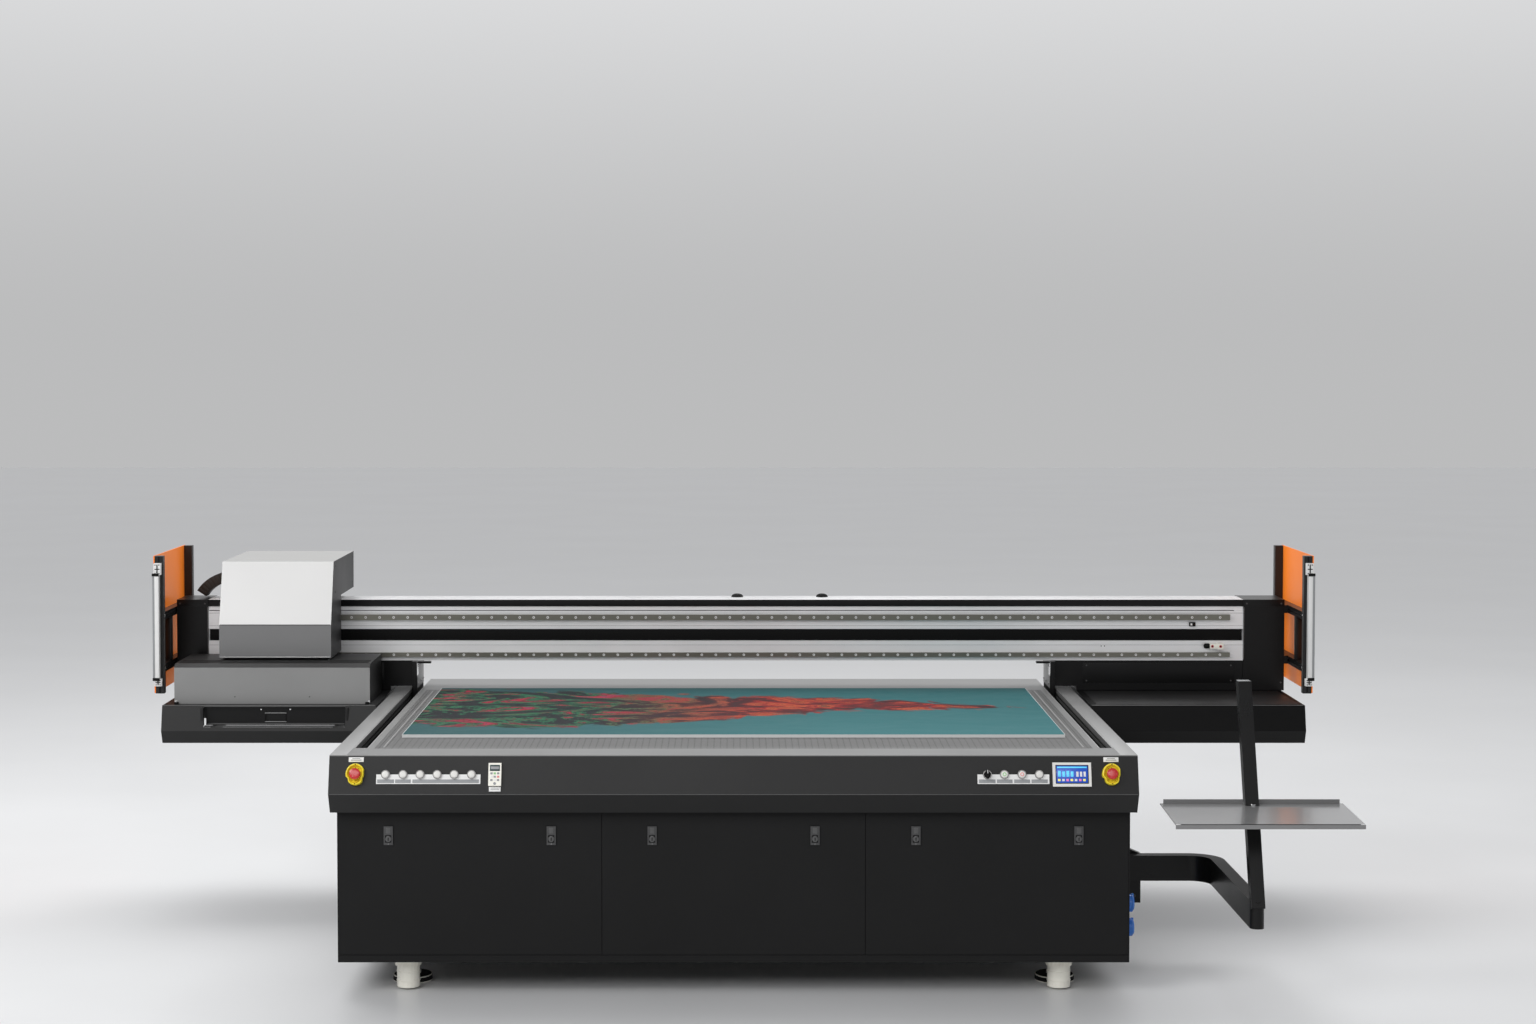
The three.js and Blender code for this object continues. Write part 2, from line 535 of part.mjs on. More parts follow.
function headCarriage() {
  const { plateFront, plateThick, blockLength } = CARRIAGE;
  const plateBack = plateFront + plateThick;
  const plate = box([HEAD.left + 40, HEAD.right - 40], [plateFront, plateBack], [1008, 1240]);
  const blocks = [];
  for (const z of [X_RAIL.upper, X_RAIL.lower]) {
    for (const x of [HEAD.left + 60, HEAD.right - 60 - blockLength]) {
      const body = box([x, x + blockLength], [plateBack - 1, BEAM.front - 4], [z[0] - 11, z[1] + 11]);
      const grooveY = [BEAM.front - GAP - X_RAIL.depth - 1, BEAM.front];
      const groove = box([x - 1, x + blockLength + 1], grooveY, [z[0] - 1, z[1] + 1]);
      blocks.push(cut(body, groove));
    }
  }
  const hanger = box([HEAD.left + 120, HEAD.right - 120], [plateFront - 140, plateFront + 1], [1228, 1240]);
  const shelfX = [HEAD.left + SHEET + 1, HEAD.right - SHEET - 1];
  const shelf = box(shelfX, [HEAD.front + 60, plateFront - 100], [1228, 1240]);
  piece("head_carriage", join(plate, ...blocks, hanger, shelf), aluminium);

  const { left, right, front, rear, bottom, top } = PRINT;
  const heads = [0, 1, 2].map((n) => {
    const x = left + 76 + n * 120;
    return box([x, x + 28], [front + 50, rear - 60], [bottom - 3, bottom + 1]);
  });
  piece("print_carriage", join(box([left, right], [front, rear], [bottom, top]), ...heads), steel);
}

function cableChain() {
  const centre = [-2172, 1195];
  const outerR = 178;
  const innerR = 132;
  const endAngle = Math.PI - Math.asin(72 / innerR);
  const outline = new THREE.Shape();
  outline.moveTo(HEAD.left - GAP, centre[1] + innerR);
  outline.lineTo(centre[0], centre[1] + innerR);
  outline.absarc(...centre, innerR, Math.PI / 2, endAngle, false);
  outline.lineTo(centre[0] + outerR * Math.cos(endAngle), centre[1] + outerR * Math.sin(endAngle));
  outline.absarc(...centre, outerR, endAngle, Math.PI / 2, true);
  outline.lineTo(HEAD.left - GAP, centre[1] + outerR);
  piece("cable_chain", prism(outline, "y", 850, 920), rubber);
}

tableFrame();
vacuumBed();
baseFrame();
cabinetShell();
doors();
feet();
controlFascia();
controls();
shelfStand();
powerInlets();
vacuumBlower();
beam();
for (const [sideName, side] of [["left", -1], ["right", 1]]) {
  wing(sideName, side);
  endCap(sideName, side);
  tray(sideName, side);
  guard(sideName, side);
}
drawer();
capStation();
headCover();
headCarriage();
cableChain();

printer.updateMatrixWorld(true);
const extent = new THREE.Box3().setFromObject(printer);
const middle = extent.getCenter(new THREE.Vector3());
printer.position.set(-middle.x, -middle.y, -extent.min.z);

export default printer;
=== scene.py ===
"""Looks for the flatbed UV printer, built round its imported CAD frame.

Shapes are given in millimetres from the middle of the print table, at floor level:
+X to the operator's right, -Y to the front, +Z up. at() turns them into the row frame.
"""

import math

import bmesh
import bpy
from mathutils import Matrix, Vector


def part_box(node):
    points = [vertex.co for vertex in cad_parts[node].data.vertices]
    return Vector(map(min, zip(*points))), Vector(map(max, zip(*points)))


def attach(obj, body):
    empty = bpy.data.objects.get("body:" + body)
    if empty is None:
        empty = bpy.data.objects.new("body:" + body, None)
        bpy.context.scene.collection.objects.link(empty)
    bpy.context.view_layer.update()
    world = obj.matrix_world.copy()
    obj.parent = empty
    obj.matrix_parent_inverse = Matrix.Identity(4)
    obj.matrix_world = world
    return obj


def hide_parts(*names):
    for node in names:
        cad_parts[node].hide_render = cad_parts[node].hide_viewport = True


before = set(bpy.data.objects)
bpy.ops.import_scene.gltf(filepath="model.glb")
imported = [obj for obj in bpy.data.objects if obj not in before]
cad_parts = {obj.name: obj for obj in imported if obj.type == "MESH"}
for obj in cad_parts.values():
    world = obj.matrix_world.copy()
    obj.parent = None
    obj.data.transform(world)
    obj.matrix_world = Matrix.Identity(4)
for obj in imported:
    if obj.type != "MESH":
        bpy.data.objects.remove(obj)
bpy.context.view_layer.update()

MM = 0.001
table_low, table_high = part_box("table_frame")
TABLE_Y = (table_low.y + table_high.y) / 2
BED_Z = 880
PANEL_Z = 813
PANEL_SLOPE = math.atan2(-41, 134)
SIDES = {"left": -1, "right": 1}


def at(x, y, z):
    """A point in the row frame from table millimetres."""
    return Vector((x * MM, y * MM + TABLE_Y, z * MM))


# ---- camera, light and floor ----
CAMERA_PLACE = (0, -10193, 2340)
CAMERA_DIP = 2.438  # degrees below level


def make_camera():
    data = bpy.data.cameras.new("camera")
    data.lens = 60
    data.sensor_width = 36
    data.shift_x = 0.0224
    data.shift_y = -0.0358
    data.clip_end = 200
    camera = bpy.data.objects.new("camera", data)
    camera.location = at(*CAMERA_PLACE)
    camera.rotation_euler = (math.radians(90 - CAMERA_DIP), 0, 0)
    bpy.context.scene.collection.objects.link(camera)
    bpy.context.scene.camera = camera


def soft_light(name, place, target, size, power, colour=(1, 1, 1)):
    data = bpy.data.lights.new(name, "AREA")
    data.shape = "RECTANGLE"
    data.size, data.size_y = size
    data.energy = power
    data.color = colour
    light = bpy.data.objects.new(name, data)
    light.location = Vector(place)
    light.rotation_euler = (Vector(target) - light.location).to_track_quat("-Z", "Y").to_euler()
    bpy.context.scene.collection.objects.link(light)


def make_world():
    world = bpy.data.worlds.new("studio")
    bpy.context.scene.world = world
    world.use_nodes = True
    tree = world.node_tree
    background = tree.nodes["Background"]
    background.inputs["Strength"].default_value = 1.0
    direction = tree.nodes.new("ShaderNodeSeparateXYZ")
    tree.links.new(tree.nodes.new("ShaderNodeTexCoord").outputs["Generated"], direction.inputs[0])
    ramp = tree.nodes.new("ShaderNodeValToRGB")
    front_to_back = tree.nodes.new("ShaderNodeMapRange")
    front_to_back.inputs["From Min"].default_value = -1
    tree.links.new(direction.outputs["Y"], front_to_back.inputs["Value"])
    tree.links.new(front_to_back.outputs[0], ramp.inputs[0])
    horizon = tree.nodes.new("ShaderNodeMix")
    horizon.data_type = "RGBA"
    horizon.inputs[6].default_value = (0.50, 0.502, 0.506, 1)
    above = tree.nodes.new("ShaderNodeMapRange")
    above.interpolation_type = "SMOOTHSTEP"
    above.inputs["From Max"].default_value = 0.22
    tree.links.new(direction.outputs["Z"], above.inputs["Value"])
    tree.links.new(above.outputs[0], horizon.inputs[0])
    tree.links.new(ramp.outputs[0], horizon.inputs[7])
    tree.links.new(horizon.outputs[2], background.inputs["Color"])
    front, rear = ramp.color_ramp.elements
    front.position, front.color = 0.2, (0.30, 0.30, 0.31, 1)
    rear.position, rear.color = 0.92, (0.80, 0.805, 0.815, 1)


def make_stage():
    mesh = bpy.data.meshes.new("floor")
    shape = bmesh.new()
    bmesh.ops.create_grid(shape, x_segments=8, y_segments=8, size=40)
    shape.to_mesh(mesh)
    shape.free()
    floor = bpy.data.objects.new("floor", mesh)
    bpy.context.scene.collection.objects.link(floor)
    floor.data.materials.append(surface("floor_paint", (0.74, 0.745, 0.75), 0.35, specular=0.35,
                                        tint=0.04, blotch=0.6))


# ---- materials ----
class Nodes:
    """A small helper round one material's node tree."""

    def __init__(self, name):
        self.material = bpy.data.materials.new(name)
        self.material.use_nodes = True
        self.tree = self.material.node_tree
        self.shader = self.tree.nodes["Principled BSDF"]
        self.where = self.tree.nodes.new("ShaderNodeTexCoord").outputs["Object"]

    def node(self, kind, inputs=(), **settings):
        made = self.tree.nodes.new("ShaderNode" + kind)
        for key, value in settings.items():
            setattr(made, key, value)
        for slot, value in dict(inputs).items():
            self.put(made.inputs[slot], value)
        return made

    def put(self, socket, value):
        if isinstance(value, bpy.types.NodeSocket):
            self.tree.links.new(value, socket)
        else:
            socket.default_value = value

    def math(self, operation, a, b=0.0):
        return self.node("Math", {0: a, 1: b}, operation=operation).outputs[0]

    def scaled(self, scale):
        return self.node("Mapping", {"Vector": self.where, "Scale": scale}).outputs[0]

    def noise(self, scale, detail=3.0, stretch=None, rough=0.5, warp=0.0):
        place = self.where if stretch is None else self.scaled(stretch)
        inputs = {"Vector": place, "Scale": scale, "Detail": detail, "Roughness": rough,
                  "Distortion": warp}
        return self.node("TexNoise", inputs).outputs[0]

    def remap(self, value, low, high, from_low=0.3, from_high=0.7):
        inputs = {0: value, 1: from_low, 2: from_high, 3: low, 4: high}
        return self.node("MapRange", inputs).outputs[0]

    def blend(self, share, a, b, how="MIX"):
        made = self.node("Mix", data_type="RGBA", blend_type=how)
        for slot, value in ((0, share), (6, a), (7, b)):
            self.put(made.inputs[slot], value)
        return made.outputs[2]

    def axis(self, letter):
        return self.node("SeparateXYZ", {0: self.where}).outputs["XYZ".index(letter)]

    def normal(self, letter):
        geometry = self.node("NewGeometry")
        made = self.node("VectorTransform", {0: geometry.outputs["Normal"]},
                         vector_type="NORMAL", convert_from="WORLD", convert_to="OBJECT")
        return self.node("SeparateXYZ", {0: made.outputs[0]}).outputs["XYZ".index(letter)]

    def band(self, value, low, high):
        """1 where value lies between low and high, else 0."""
        above = self.math("GREATER_THAN", value, low)
        below = self.math("LESS_THAN", value, high)
        return self.math("MULTIPLY", above, below)

    def bump(self, height, distance, strength=1.0):
        made = self.node("Bump", {"Height": height, "Distance": distance, "Strength": strength})
        self.put(self.shader.inputs["Normal"], made.outputs[0])


def rgba(colour):
    return (*colour, 1.0)


def surface(name, colour, rough, metal=0.0, specular=0.5, coat=0.0, tint=0.1, blotch=2.5,
            grain=None, brush=None, masks=()):
    """A finish with drifting tone and uneven gloss.

    grain is (scale per metre, height in metres) of an even texture, brush is (stretch, height, scale)
    of a one-way one, and each mask is (function of the nodes, colour) laid over the base colour.
    """
    n = Nodes(name)
    drift = n.noise(blotch, 4.0)
    dark = rgba([c * (1 - tint) for c in colour])
    light = rgba([min(1.0, c * (1 + tint)) for c in colour])
    tone = n.blend(n.remap(drift, 0, 1), dark, light)
    fine = n.noise(brush[2] if brush else 160, 2.0, stretch=brush[0] if brush else None)
    streaks = n.blend(n.remap(fine, 0, 1), dark, light)
    tone = n.blend(0.5 * tint + (0.25 if brush else 0.05), tone, streaks)
    for mask, over in masks:
        tone = n.blend(mask(n), tone, rgba(over))
    n.put(n.shader.inputs["Base Color"], tone)
    n.put(n.shader.inputs["Roughness"], n.remap(n.math("ADD", drift, n.math("MULTIPLY", fine, 0.3)),
                                                rough * 0.88, min(1.0, rough * 1.12), 0.4, 0.9))
    n.shader.inputs["Metallic"].default_value = metal
    n.shader.inputs["Specular IOR Level"].default_value = specular
    n.shader.inputs["Coat Weight"].default_value = coat
    n.shader.inputs["Coat Roughness"].default_value = 0.12
    if brush:
        n.bump(fine, brush[1])
    elif grain:
        n.bump(n.noise(grain[0], 2.0, rough=0.6), grain[1])
    return n.material


def near_z(low, high):
    return lambda n: n.band(n.axis("Z"), low * MM, high * MM)


def facing(letter, low, high=1.1):
    return lambda n: n.band(n.normal(letter), low, high)


def ahead_of(y):
    return lambda n: n.math("LESS_THAN", n.axis("Y"), y * MM + TABLE_Y)


def both(*masks):
    def mask(n):
        share = masks[0](n)
        for other in masks[1:]:
            share = n.math("MULTIPLY", share, other(n))
        return share
    return mask


def make_board():
    """The printed board: an abstract pattern of the builder's own over teal, with plain pale edges."""
    n = Nodes("printed_board")
    x, y = n.axis("X"), n.axis("Y")
    half = 1.243
    across = n.math("DIVIDE", n.math("SUBTRACT", y, TABLE_Y + 0.006), 0.655)
    wave = n.math("MULTIPLY", n.math("SINE", n.math("MULTIPLY", x, 3.1)), 0.1)
    away = n.math("ABSOLUTE", n.math("SUBTRACT", across, n.math("ADD", wave, 0.12)))
    reach = n.remap(x, 0.8, 0.0, -0.7, 1.16)
    ragged = n.math("MULTIPLY", n.math("SUBTRACT", n.noise(5.0, 5.0, warp=1.5), 0.5), 0.5)
    inside = n.remap(n.math("SUBTRACT", n.math("ADD", reach, ragged), away), 0, 1, -0.01, 0.05)
    swirl = n.noise(2.4, 6.0, stretch=(1, 1.9, 1), rough=0.68, warp=2.2)
    left_ramp = n.node("ValToRGB", {0: swirl}).outputs[0]
    right_ramp = n.node("ValToRGB", {0: swirl}).outputs[0]
    left_stops = ((0.30, (0.002, 0.003, 0.005)), (0.47, (0.004, 0.006, 0.01)), (0.52, (0.01, 0.16, 0.07)),
                  (0.56, (0.10, 0.008, 0.02)), (0.62, (0.40, 0.02, 0.045)), (0.70, (0.01, 0.07, 0.15)))
    right_stops = ((0.34, (0.012, 0.002, 0.004)), (0.46, (0.09, 0.005, 0.008)),
                   (0.52, (0.32, 0.014, 0.012)), (0.57, (0.48, 0.09, 0.03)),
                   (0.62, (0.07, 0.01, 0.012)), (0.70, (0.42, 0.22, 0.12)))
    for ramp, stops in ((left_ramp, left_stops), (right_ramp, right_stops)):
        elements = ramp.node.color_ramp.elements
        while len(elements) < len(stops):
            elements.new(0.5)
        for element, (place, colour) in zip(elements, stops):
            element.position = place
            element.color = rgba(colour)
    drift = n.remap(n.math("ADD", x, n.math("MULTIPLY", ragged, 0.8)), 0, 1, -0.55, 0.1)
    colours = n.blend(drift, left_ramp, right_ramp)
    cells = n.node("TexVoronoi", {"Vector": n.scaled((1, 1.6, 1)), "Scale": 38.0},
                   feature="DISTANCE_TO_EDGE")
    colours = n.blend(n.remap(cells.outputs[0], 0.5, 0, 0.0, 0.08), colours, rgba((0.01, 0.01, 0.015)))
    teal = n.blend(n.remap(n.math("ADD", y, n.math("MULTIPLY", x, -0.12)), 0, 1, -0.5, 0.9),
                   rgba((0.035, 0.165, 0.178)), rgba((0.014, 0.10, 0.108)))
    teal = n.blend(n.remap(x, 0, 0.75, 0.4, -1.2), teal, rgba((0.02, 0.065, 0.068)))
    printed = n.blend(inside, teal, colours)
    top = n.math("GREATER_THAN", n.normal("Z"), 0.5)
    edge = n.math("GREATER_THAN", n.math("ABSOLUTE", x), half - 0.002)
    printed = n.blend(edge, printed, rgba((0.6, 0.62, 0.62)))
    n.put(n.shader.inputs["Base Color"], n.blend(top, rgba((0.74, 0.75, 0.74)), printed))
    n.put(n.shader.inputs["Roughness"], n.remap(swirl, 0.55, 0.65))
    n.shader.inputs["Specular IOR Level"].default_value = 0.12
    n.bump(n.noise(900, 2.0), 0.00004)
    return n.material


def make_bed():
    """Machined vacuum bed: fine front-to-back lines, rows of suction holes and a border line."""
    n = Nodes("bed_plate")
    x = n.axis("X")
    y = n.math("SUBTRACT", n.axis("Y"), TABLE_Y)
    pitch = 0.024
    half_width, half_depth, forward = 1.311, 0.8025, 0.1025

    def every(value):
        return n.math("ABSOLUTE", n.math("SUBTRACT", n.math("FRACT", n.math("DIVIDE", value, pitch)), 0.5))

    groove = n.remap(every(x), 0, 1, 0.38, 0.5)
    hole_x, hole_y = every(n.math("ADD", x, pitch / 2)), every(y)
    squares = [n.math("MULTIPLY", offset, offset) for offset in (hole_x, hole_y)]
    spread = n.math("SQRT", n.math("ADD", *squares))
    hole = n.remap(spread, 1, 0, 0.05, 0.09)
    from_side = n.math("SUBTRACT", half_width, n.math("ABSOLUTE", x))
    from_end = n.math("SUBTRACT", half_depth, n.math("ABSOLUTE", n.math("ADD", y, forward)))
    rim = n.band(n.math("MINIMUM", from_side, from_end), 0.028, 0.032)
    brushed = n.noise(60, 3.0, stretch=(9, 0.4, 1))
    tone = n.blend(n.remap(brushed, 0, 1), rgba((0.10, 0.10, 0.099)), rgba((0.15, 0.149, 0.147)))
    tone = n.blend(n.math("MULTIPLY", groove, 0.8), tone, rgba((0.04, 0.04, 0.04)))
    tone = n.blend(hole, tone, rgba((0.02, 0.02, 0.02)))
    tone = n.blend(rim, tone, rgba((0.34, 0.34, 0.335)))
    n.put(n.shader.inputs["Base Color"], tone)
    n.put(n.shader.inputs["Roughness"], n.remap(brushed, 0.38, 0.5))
    n.shader.inputs["Metallic"].default_value = 0.55
    n.bump(n.math("SUBTRACT", 1.0, n.math("MAXIMUM", groove, hole)), 0.0006, 0.6)
    return n.material


def make_glow(name, colour, strength):
    """A lit display field."""
    n = Nodes(name)
    tone = n.blend(n.remap(n.noise(30), 0, 1), rgba([c * 0.9 for c in colour]), rgba(colour))
    n.put(n.shader.inputs["Base Color"], tone)
    n.put(n.shader.inputs["Emission Color"], tone)
    n.shader.inputs["Emission Strength"].default_value = strength
    n.shader.inputs["Roughness"].default_value = 0.2
    return n.material


def make_pane():
    n = Nodes("orange_pane")
    tone = n.blend(n.remap(n.noise(1.5), 0, 1), rgba((0.76, 0.175, 0.014)), rgba((0.86, 0.215, 0.022)))
    n.put(n.shader.inputs["Base Color"], tone)
    n.put(n.shader.inputs["Roughness"], n.remap(n.noise(4), 0.3, 0.4))
    n.shader.inputs["Specular IOR Level"].default_value = 0.15
    # The pane is no lamp: its faint orange emission is painted glow standing for light passing through the
    # tinted pane.
    n.put(n.shader.inputs["Emission Color"], tone)
    n.shader.inputs["Emission Strength"].default_value = 0.3
    return n.material


ALONG_X = (1, 60, 60)
ALONG_Y = (60, 1, 60)
# Facet masks for painted light and shade: faces of one paint get different base tones by the way they face.
SLOPE_FRONT = both(facing("Y", -0.99, -0.8), near_z(1183, 1445))
LOWER_FRONT = both(facing("Y", -1.1, -0.99), near_z(1040, 1184))
LEANING_FRONT = both(facing("Z", -1.0, -0.2), facing("Y", -1.1, -0.5))
RIGHT_FACE = facing("X", 0.7)
LEFT_FACE = facing("X", -1.1, -0.7)
M = {
    "cabinet": surface("cabinet_paint", (0.014, 0.014, 0.0142), 0.6, specular=0.12, grain=(700, 0.00002)),
    "satin": surface("satin_black", (0.006, 0.006, 0.0062), 0.3, specular=0.22, grain=(500, 0.00002)),
    # Painted light: faces leaning down towards the front are painted a little lighter than the rest of the
    # powder coat.
    "powder": surface("powder_coat", (0.011, 0.011, 0.0112), 0.42, specular=0.3, tint=0.3,
                      grain=(420, 0.00025), masks=((LEANING_FRONT, (0.014, 0.014, 0.014)),)),
    # A darker copy of the powder coat for the right tray: painted shade. Its lower band, z 712 to 767.5, is
    # painted lighter: painted light.
    "tray": surface("tray_black", (0.004, 0.004, 0.0041), 0.42, specular=0.12, tint=0.3,
                    grain=(420, 0.00025), masks=((near_z(712, 767.5), (0.016, 0.016, 0.016)),)),
    # One silver paint with painted light per facet: the front slope is painted bright, the lower front and
    # left side are painted darker, and the right side is painted as deep shade.
    "head": surface("head_silver", (0.40, 0.398, 0.392), 0.5, metal=0.1, specular=0.3, tint=0.03,
                    grain=(1400, 0.00001),
                    masks=((SLOPE_FRONT, (0.78, 0.775, 0.765)), (LOWER_FRONT, (0.22, 0.22, 0.221)),
                           (RIGHT_FACE, (0.055, 0.055, 0.056)), (LEFT_FACE, (0.12, 0.12, 0.12)),
                           (facing("Z", 0.7), (0.40, 0.398, 0.39)))),
    # Painted shade: the right side of the grey station is painted near-black where it faces away from the
    # light. A band from z 1021 to 1037 is also painted near-black.
    "station": surface("station_paint", (0.28, 0.28, 0.277), 0.45, metal=0.1, specular=0.3, tint=0.05,
                       grain=(900, 0.00001),
                       masks=((RIGHT_FACE, (0.008, 0.008, 0.008)),
                              (near_z(1021, 1037), (0.009, 0.009, 0.009)))),
    "aluminium": surface("brushed_aluminium", (0.86, 0.86, 0.865), 0.42, metal=0.55, tint=0.05,
                         brush=(ALONG_X, 0.00003, 30)),
    "table": surface("table_aluminium", (0.26, 0.26, 0.258), 0.4, metal=0.6, tint=0.04,
                     brush=(ALONG_X, 0.00001, 30)),
    "edge_strip": surface("brushed_edge", (0.36, 0.36, 0.357), 0.36, metal=0.7, tint=0.04,
                          brush=(ALONG_Y, 0.00001, 30)),
    "rail": surface("rail_steel", (0.20, 0.195, 0.165), 0.3, metal=0.8, tint=0.08,
                    brush=(ALONG_X, 0.00002, 24)),
    "bright": surface("bright_trim", (0.80, 0.80, 0.80), 0.22, metal=0.9, tint=0.05,
                      brush=(ALONG_X, 0.00001, 20)),
    "chrome": surface("chrome", (0.82, 0.82, 0.83), 0.08, metal=1.0, tint=0.02),
    "rubber": surface("rubber", (0.008, 0.008, 0.008), 0.7, specular=0.15, grain=(600, 0.00005)),
    "belt": surface("belt", (0.006, 0.006, 0.006), 0.6, specular=0.1, grain=(300, 0.00005)),
    "white": surface("white_plastic", (0.80, 0.79, 0.76), 0.35, tint=0.03, grain=(900, 0.00001)),
    "label": surface("label_white", (0.84, 0.84, 0.83), 0.45, tint=0.02),
    "label_grey": surface("label_grey", (0.30, 0.31, 0.32), 0.45, tint=0.04),
    "cream": surface("cream_paint", (0.90, 0.88, 0.79), 0.3, tint=0.05, coat=0.2),
    "red": surface("signal_red", (0.55, 0.022, 0.025), 0.28, tint=0.06, coat=0.3),
    "green": surface("signal_green", (0.30, 0.62, 0.26), 0.3, tint=0.05),
    "pink": surface("signal_pink", (0.80, 0.25, 0.25), 0.3, tint=0.05),
    "yellow": surface("safety_yellow", (0.92, 0.74, 0.03), 0.4, tint=0.05, coat=0.2),
    "blue": surface("socket_blue", (0.03, 0.20, 0.66), 0.35, tint=0.06, coat=0.15),
    "shelf": surface("shelf_grey", (0.23, 0.23, 0.231), 0.24, metal=0.3, specular=0.6, coat=0.3, tint=0.05),
    "chain": surface("chain_plastic", (0.020, 0.014, 0.010), 0.5, specular=0.35, grain=(400, 0.00004)),
    "latch": surface("latch_plate", (0.062, 0.062, 0.063), 0.5, specular=0.3, grain=(800, 0.00001)),
    "carriage": surface("carriage_grey", (0.25, 0.25, 0.25), 0.4, metal=0.6, brush=(ALONG_X, 0.00002, 30)),
    "cast": surface("cast_grey", (0.28, 0.29, 0.29), 0.5, metal=0.5, grain=(200, 0.0003)),
    "ring": surface("button_ring", (0.26, 0.255, 0.25), 0.3, metal=0.6, tint=0.06, grain=(700, 0.00001)),
    "fold": surface("fold_highlight", (0.10, 0.10, 0.10), 0.4, specular=0.4, grain=(700, 0.00001)),
    "upright": surface("upright_grey", (0.30, 0.30, 0.30), 0.4, metal=0.4, tint=0.06, grain=(700, 0.00001)),
    "lock": surface("lock_steel", (0.10, 0.10, 0.10), 0.4, metal=0.5, tint=0.06, grain=(700, 0.00001)),
    "lcd": surface("lcd_dark", (0.02, 0.05, 0.05), 0.15, specular=0.6),
    "guard": surface("guard_frame", (0.010, 0.010, 0.0105), 0.34, specular=0.4, grain=(500, 0.00002),
                     masks=((ahead_of(496.2), (0.70, 0.70, 0.69)),)),
    "board": make_board(),
    "bed": make_bed(),
    "pane": make_pane(),
    "display": make_glow("display_blue", (0.02, 0.08, 0.45), 0.35),
    "cyan": make_glow("display_cyan", (0.10, 0.55, 0.85), 0.5),
    "lemon": make_glow("display_lemon", (0.85, 0.75, 0.15), 0.4),
    "rose": make_glow("display_rose", (0.75, 0.2, 0.45), 0.4),
}


# ---- shapes ----
class Build:
    """Gathers closed shapes, each in its own material, into one named piece."""

    def __init__(self, name, matrix=None):
        self.name = name
        self.matrix = matrix or Matrix.Identity(4)
        self.shape = bmesh.new()
        self.finishes = []

    def take(self, part, finish, bevel=0.0, segments=2):
        if bevel:
            edges = [e for e in part.edges if len(e.link_faces) == 2 and e.calc_face_angle(0) > 0.5]
            bmesh.ops.bevel(part, geom=edges, offset=bevel, segments=segments, affect="EDGES", profile=0.6,
                            clamp_overlap=True)
        if finish not in self.finishes:
            self.finishes.append(finish)
        for face in part.faces:
            face.material_index = self.finishes.index(finish)
            face.smooth = True
        bmesh.ops.transform(part, matrix=self.matrix, verts=part.verts)
        bmesh.ops.recalc_face_normals(part, faces=part.faces)
        mesh = bpy.data.meshes.new("part")
        part.to_mesh(mesh)
        part.free()
        self.shape.from_mesh(mesh)
        bpy.data.meshes.remove(mesh)
        return self

    def box(self, x, y, z, finish, bevel=1.0, segments=2):
        part = bmesh.new()
        bmesh.ops.create_cube(part, size=1.0)
        size = [b - a for a, b in (x, y, z)]
        middle = [(a + b) / 2 for a, b in (x, y, z)]
        bmesh.ops.scale(part, vec=size, verts=part.verts)
        bmesh.ops.translate(part, vec=middle, verts=part.verts)
        return self.take(part, finish, min(bevel, min(size) * 0.4), segments)

    def lathe(self, centre, axis, profile, finish, sides=32):
        """A turned shape: profile is (radius, distance along the axis) from one end to the other."""
        part = bmesh.new()
        rings = []
        for r, along in profile:
            ring = []
            for k in range(sides):
                angle = 2 * math.pi * k / sides
                ring.append(part.verts.new((r * math.cos(angle), r * math.sin(angle), along)))
            rings.append(ring)
        for low, high in zip(rings, rings[1:]):
            for k in range(sides):
                part.faces.new((low[k], low[(k + 1) % sides], high[(k + 1) % sides], high[k]))
        part.faces.new(rings[0][::-1])
        part.faces.new(rings[-1])
        turn = Vector((0, 0, 1)).rotation_difference(Vector(axis)).to_matrix().to_4x4()
        bmesh.ops.transform(part, matrix=Matrix.Translation(centre) @ turn, verts=part.verts)
        return self.take(part, finish)

    def disc(self, centre, axis, r, thick, finish, sides=16):
        edge = min(r, thick) * 0.25
        profile = [(r - edge, 0), (r, edge), (r, thick - edge), (r - edge, thick)]
        return self.lathe(centre, axis, profile, finish, sides)

    def prism(self, outline, x, finish, bevel=1.0):
        """An outline of (y, z) points pushed along x."""
        part = bmesh.new()
        ends = [[part.verts.new((value, y, z)) for y, z in outline] for value in x]
        part.faces.new(ends[0])
        part.faces.new(ends[1][::-1])
        for k in range(len(outline)):
            j = (k + 1) % len(outline)
            part.faces.new((ends[0][k], ends[1][k], ends[1][j], ends[0][j]))
        return self.take(part, finish, bevel)

    def done(self, body, replaces=()):
        move = Matrix.Translation(at(0, 0, 0)) @ Matrix.Diagonal((MM, MM, MM, 1))
        bmesh.ops.transform(self.shape, matrix=move, verts=self.shape.verts)
        mesh = bpy.data.meshes.new(self.name)
        self.shape.to_mesh(mesh)
        self.shape.free()
        mesh.set_sharp_from_angle(angle=math.radians(35))
        for finish in self.finishes:
            mesh.materials.append(M[finish])
        piece = bpy.data.objects.new(self.name, mesh)
        bpy.context.scene.collection.objects.link(piece)
        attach(piece, body)
        if replaces:
            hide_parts(*replaces)
        return piece


def panel_matrix():
    """The sloping panel's own frame: x along it, z up the slope, -y straight out of it."""
    y = -1062 - 41 * (BED_Z - PANEL_Z) / 134
    return Matrix.Translation((0, y, PANEL_Z)) @ Matrix.Rotation(PANEL_SLOPE, 4, "X")


def span(side, low, high):
    return (low, high) if side > 0 else (-high, -low)


# ---- CAD nodes: finish and softened edges ----
def dress(node, finish, edge=1.5):
    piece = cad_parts[node]
    piece.data.materials.clear()
    piece.data.materials.append(M[finish])
    if edge:
        soften = piece.modifiers.new("edges", "BEVEL")
        soften.width = edge * MM
        soften.segments = 2
        soften.limit_method = "ANGLE"
        soften.angle_limit = math.radians(40)
        soften.harden_normals = True
    return piece


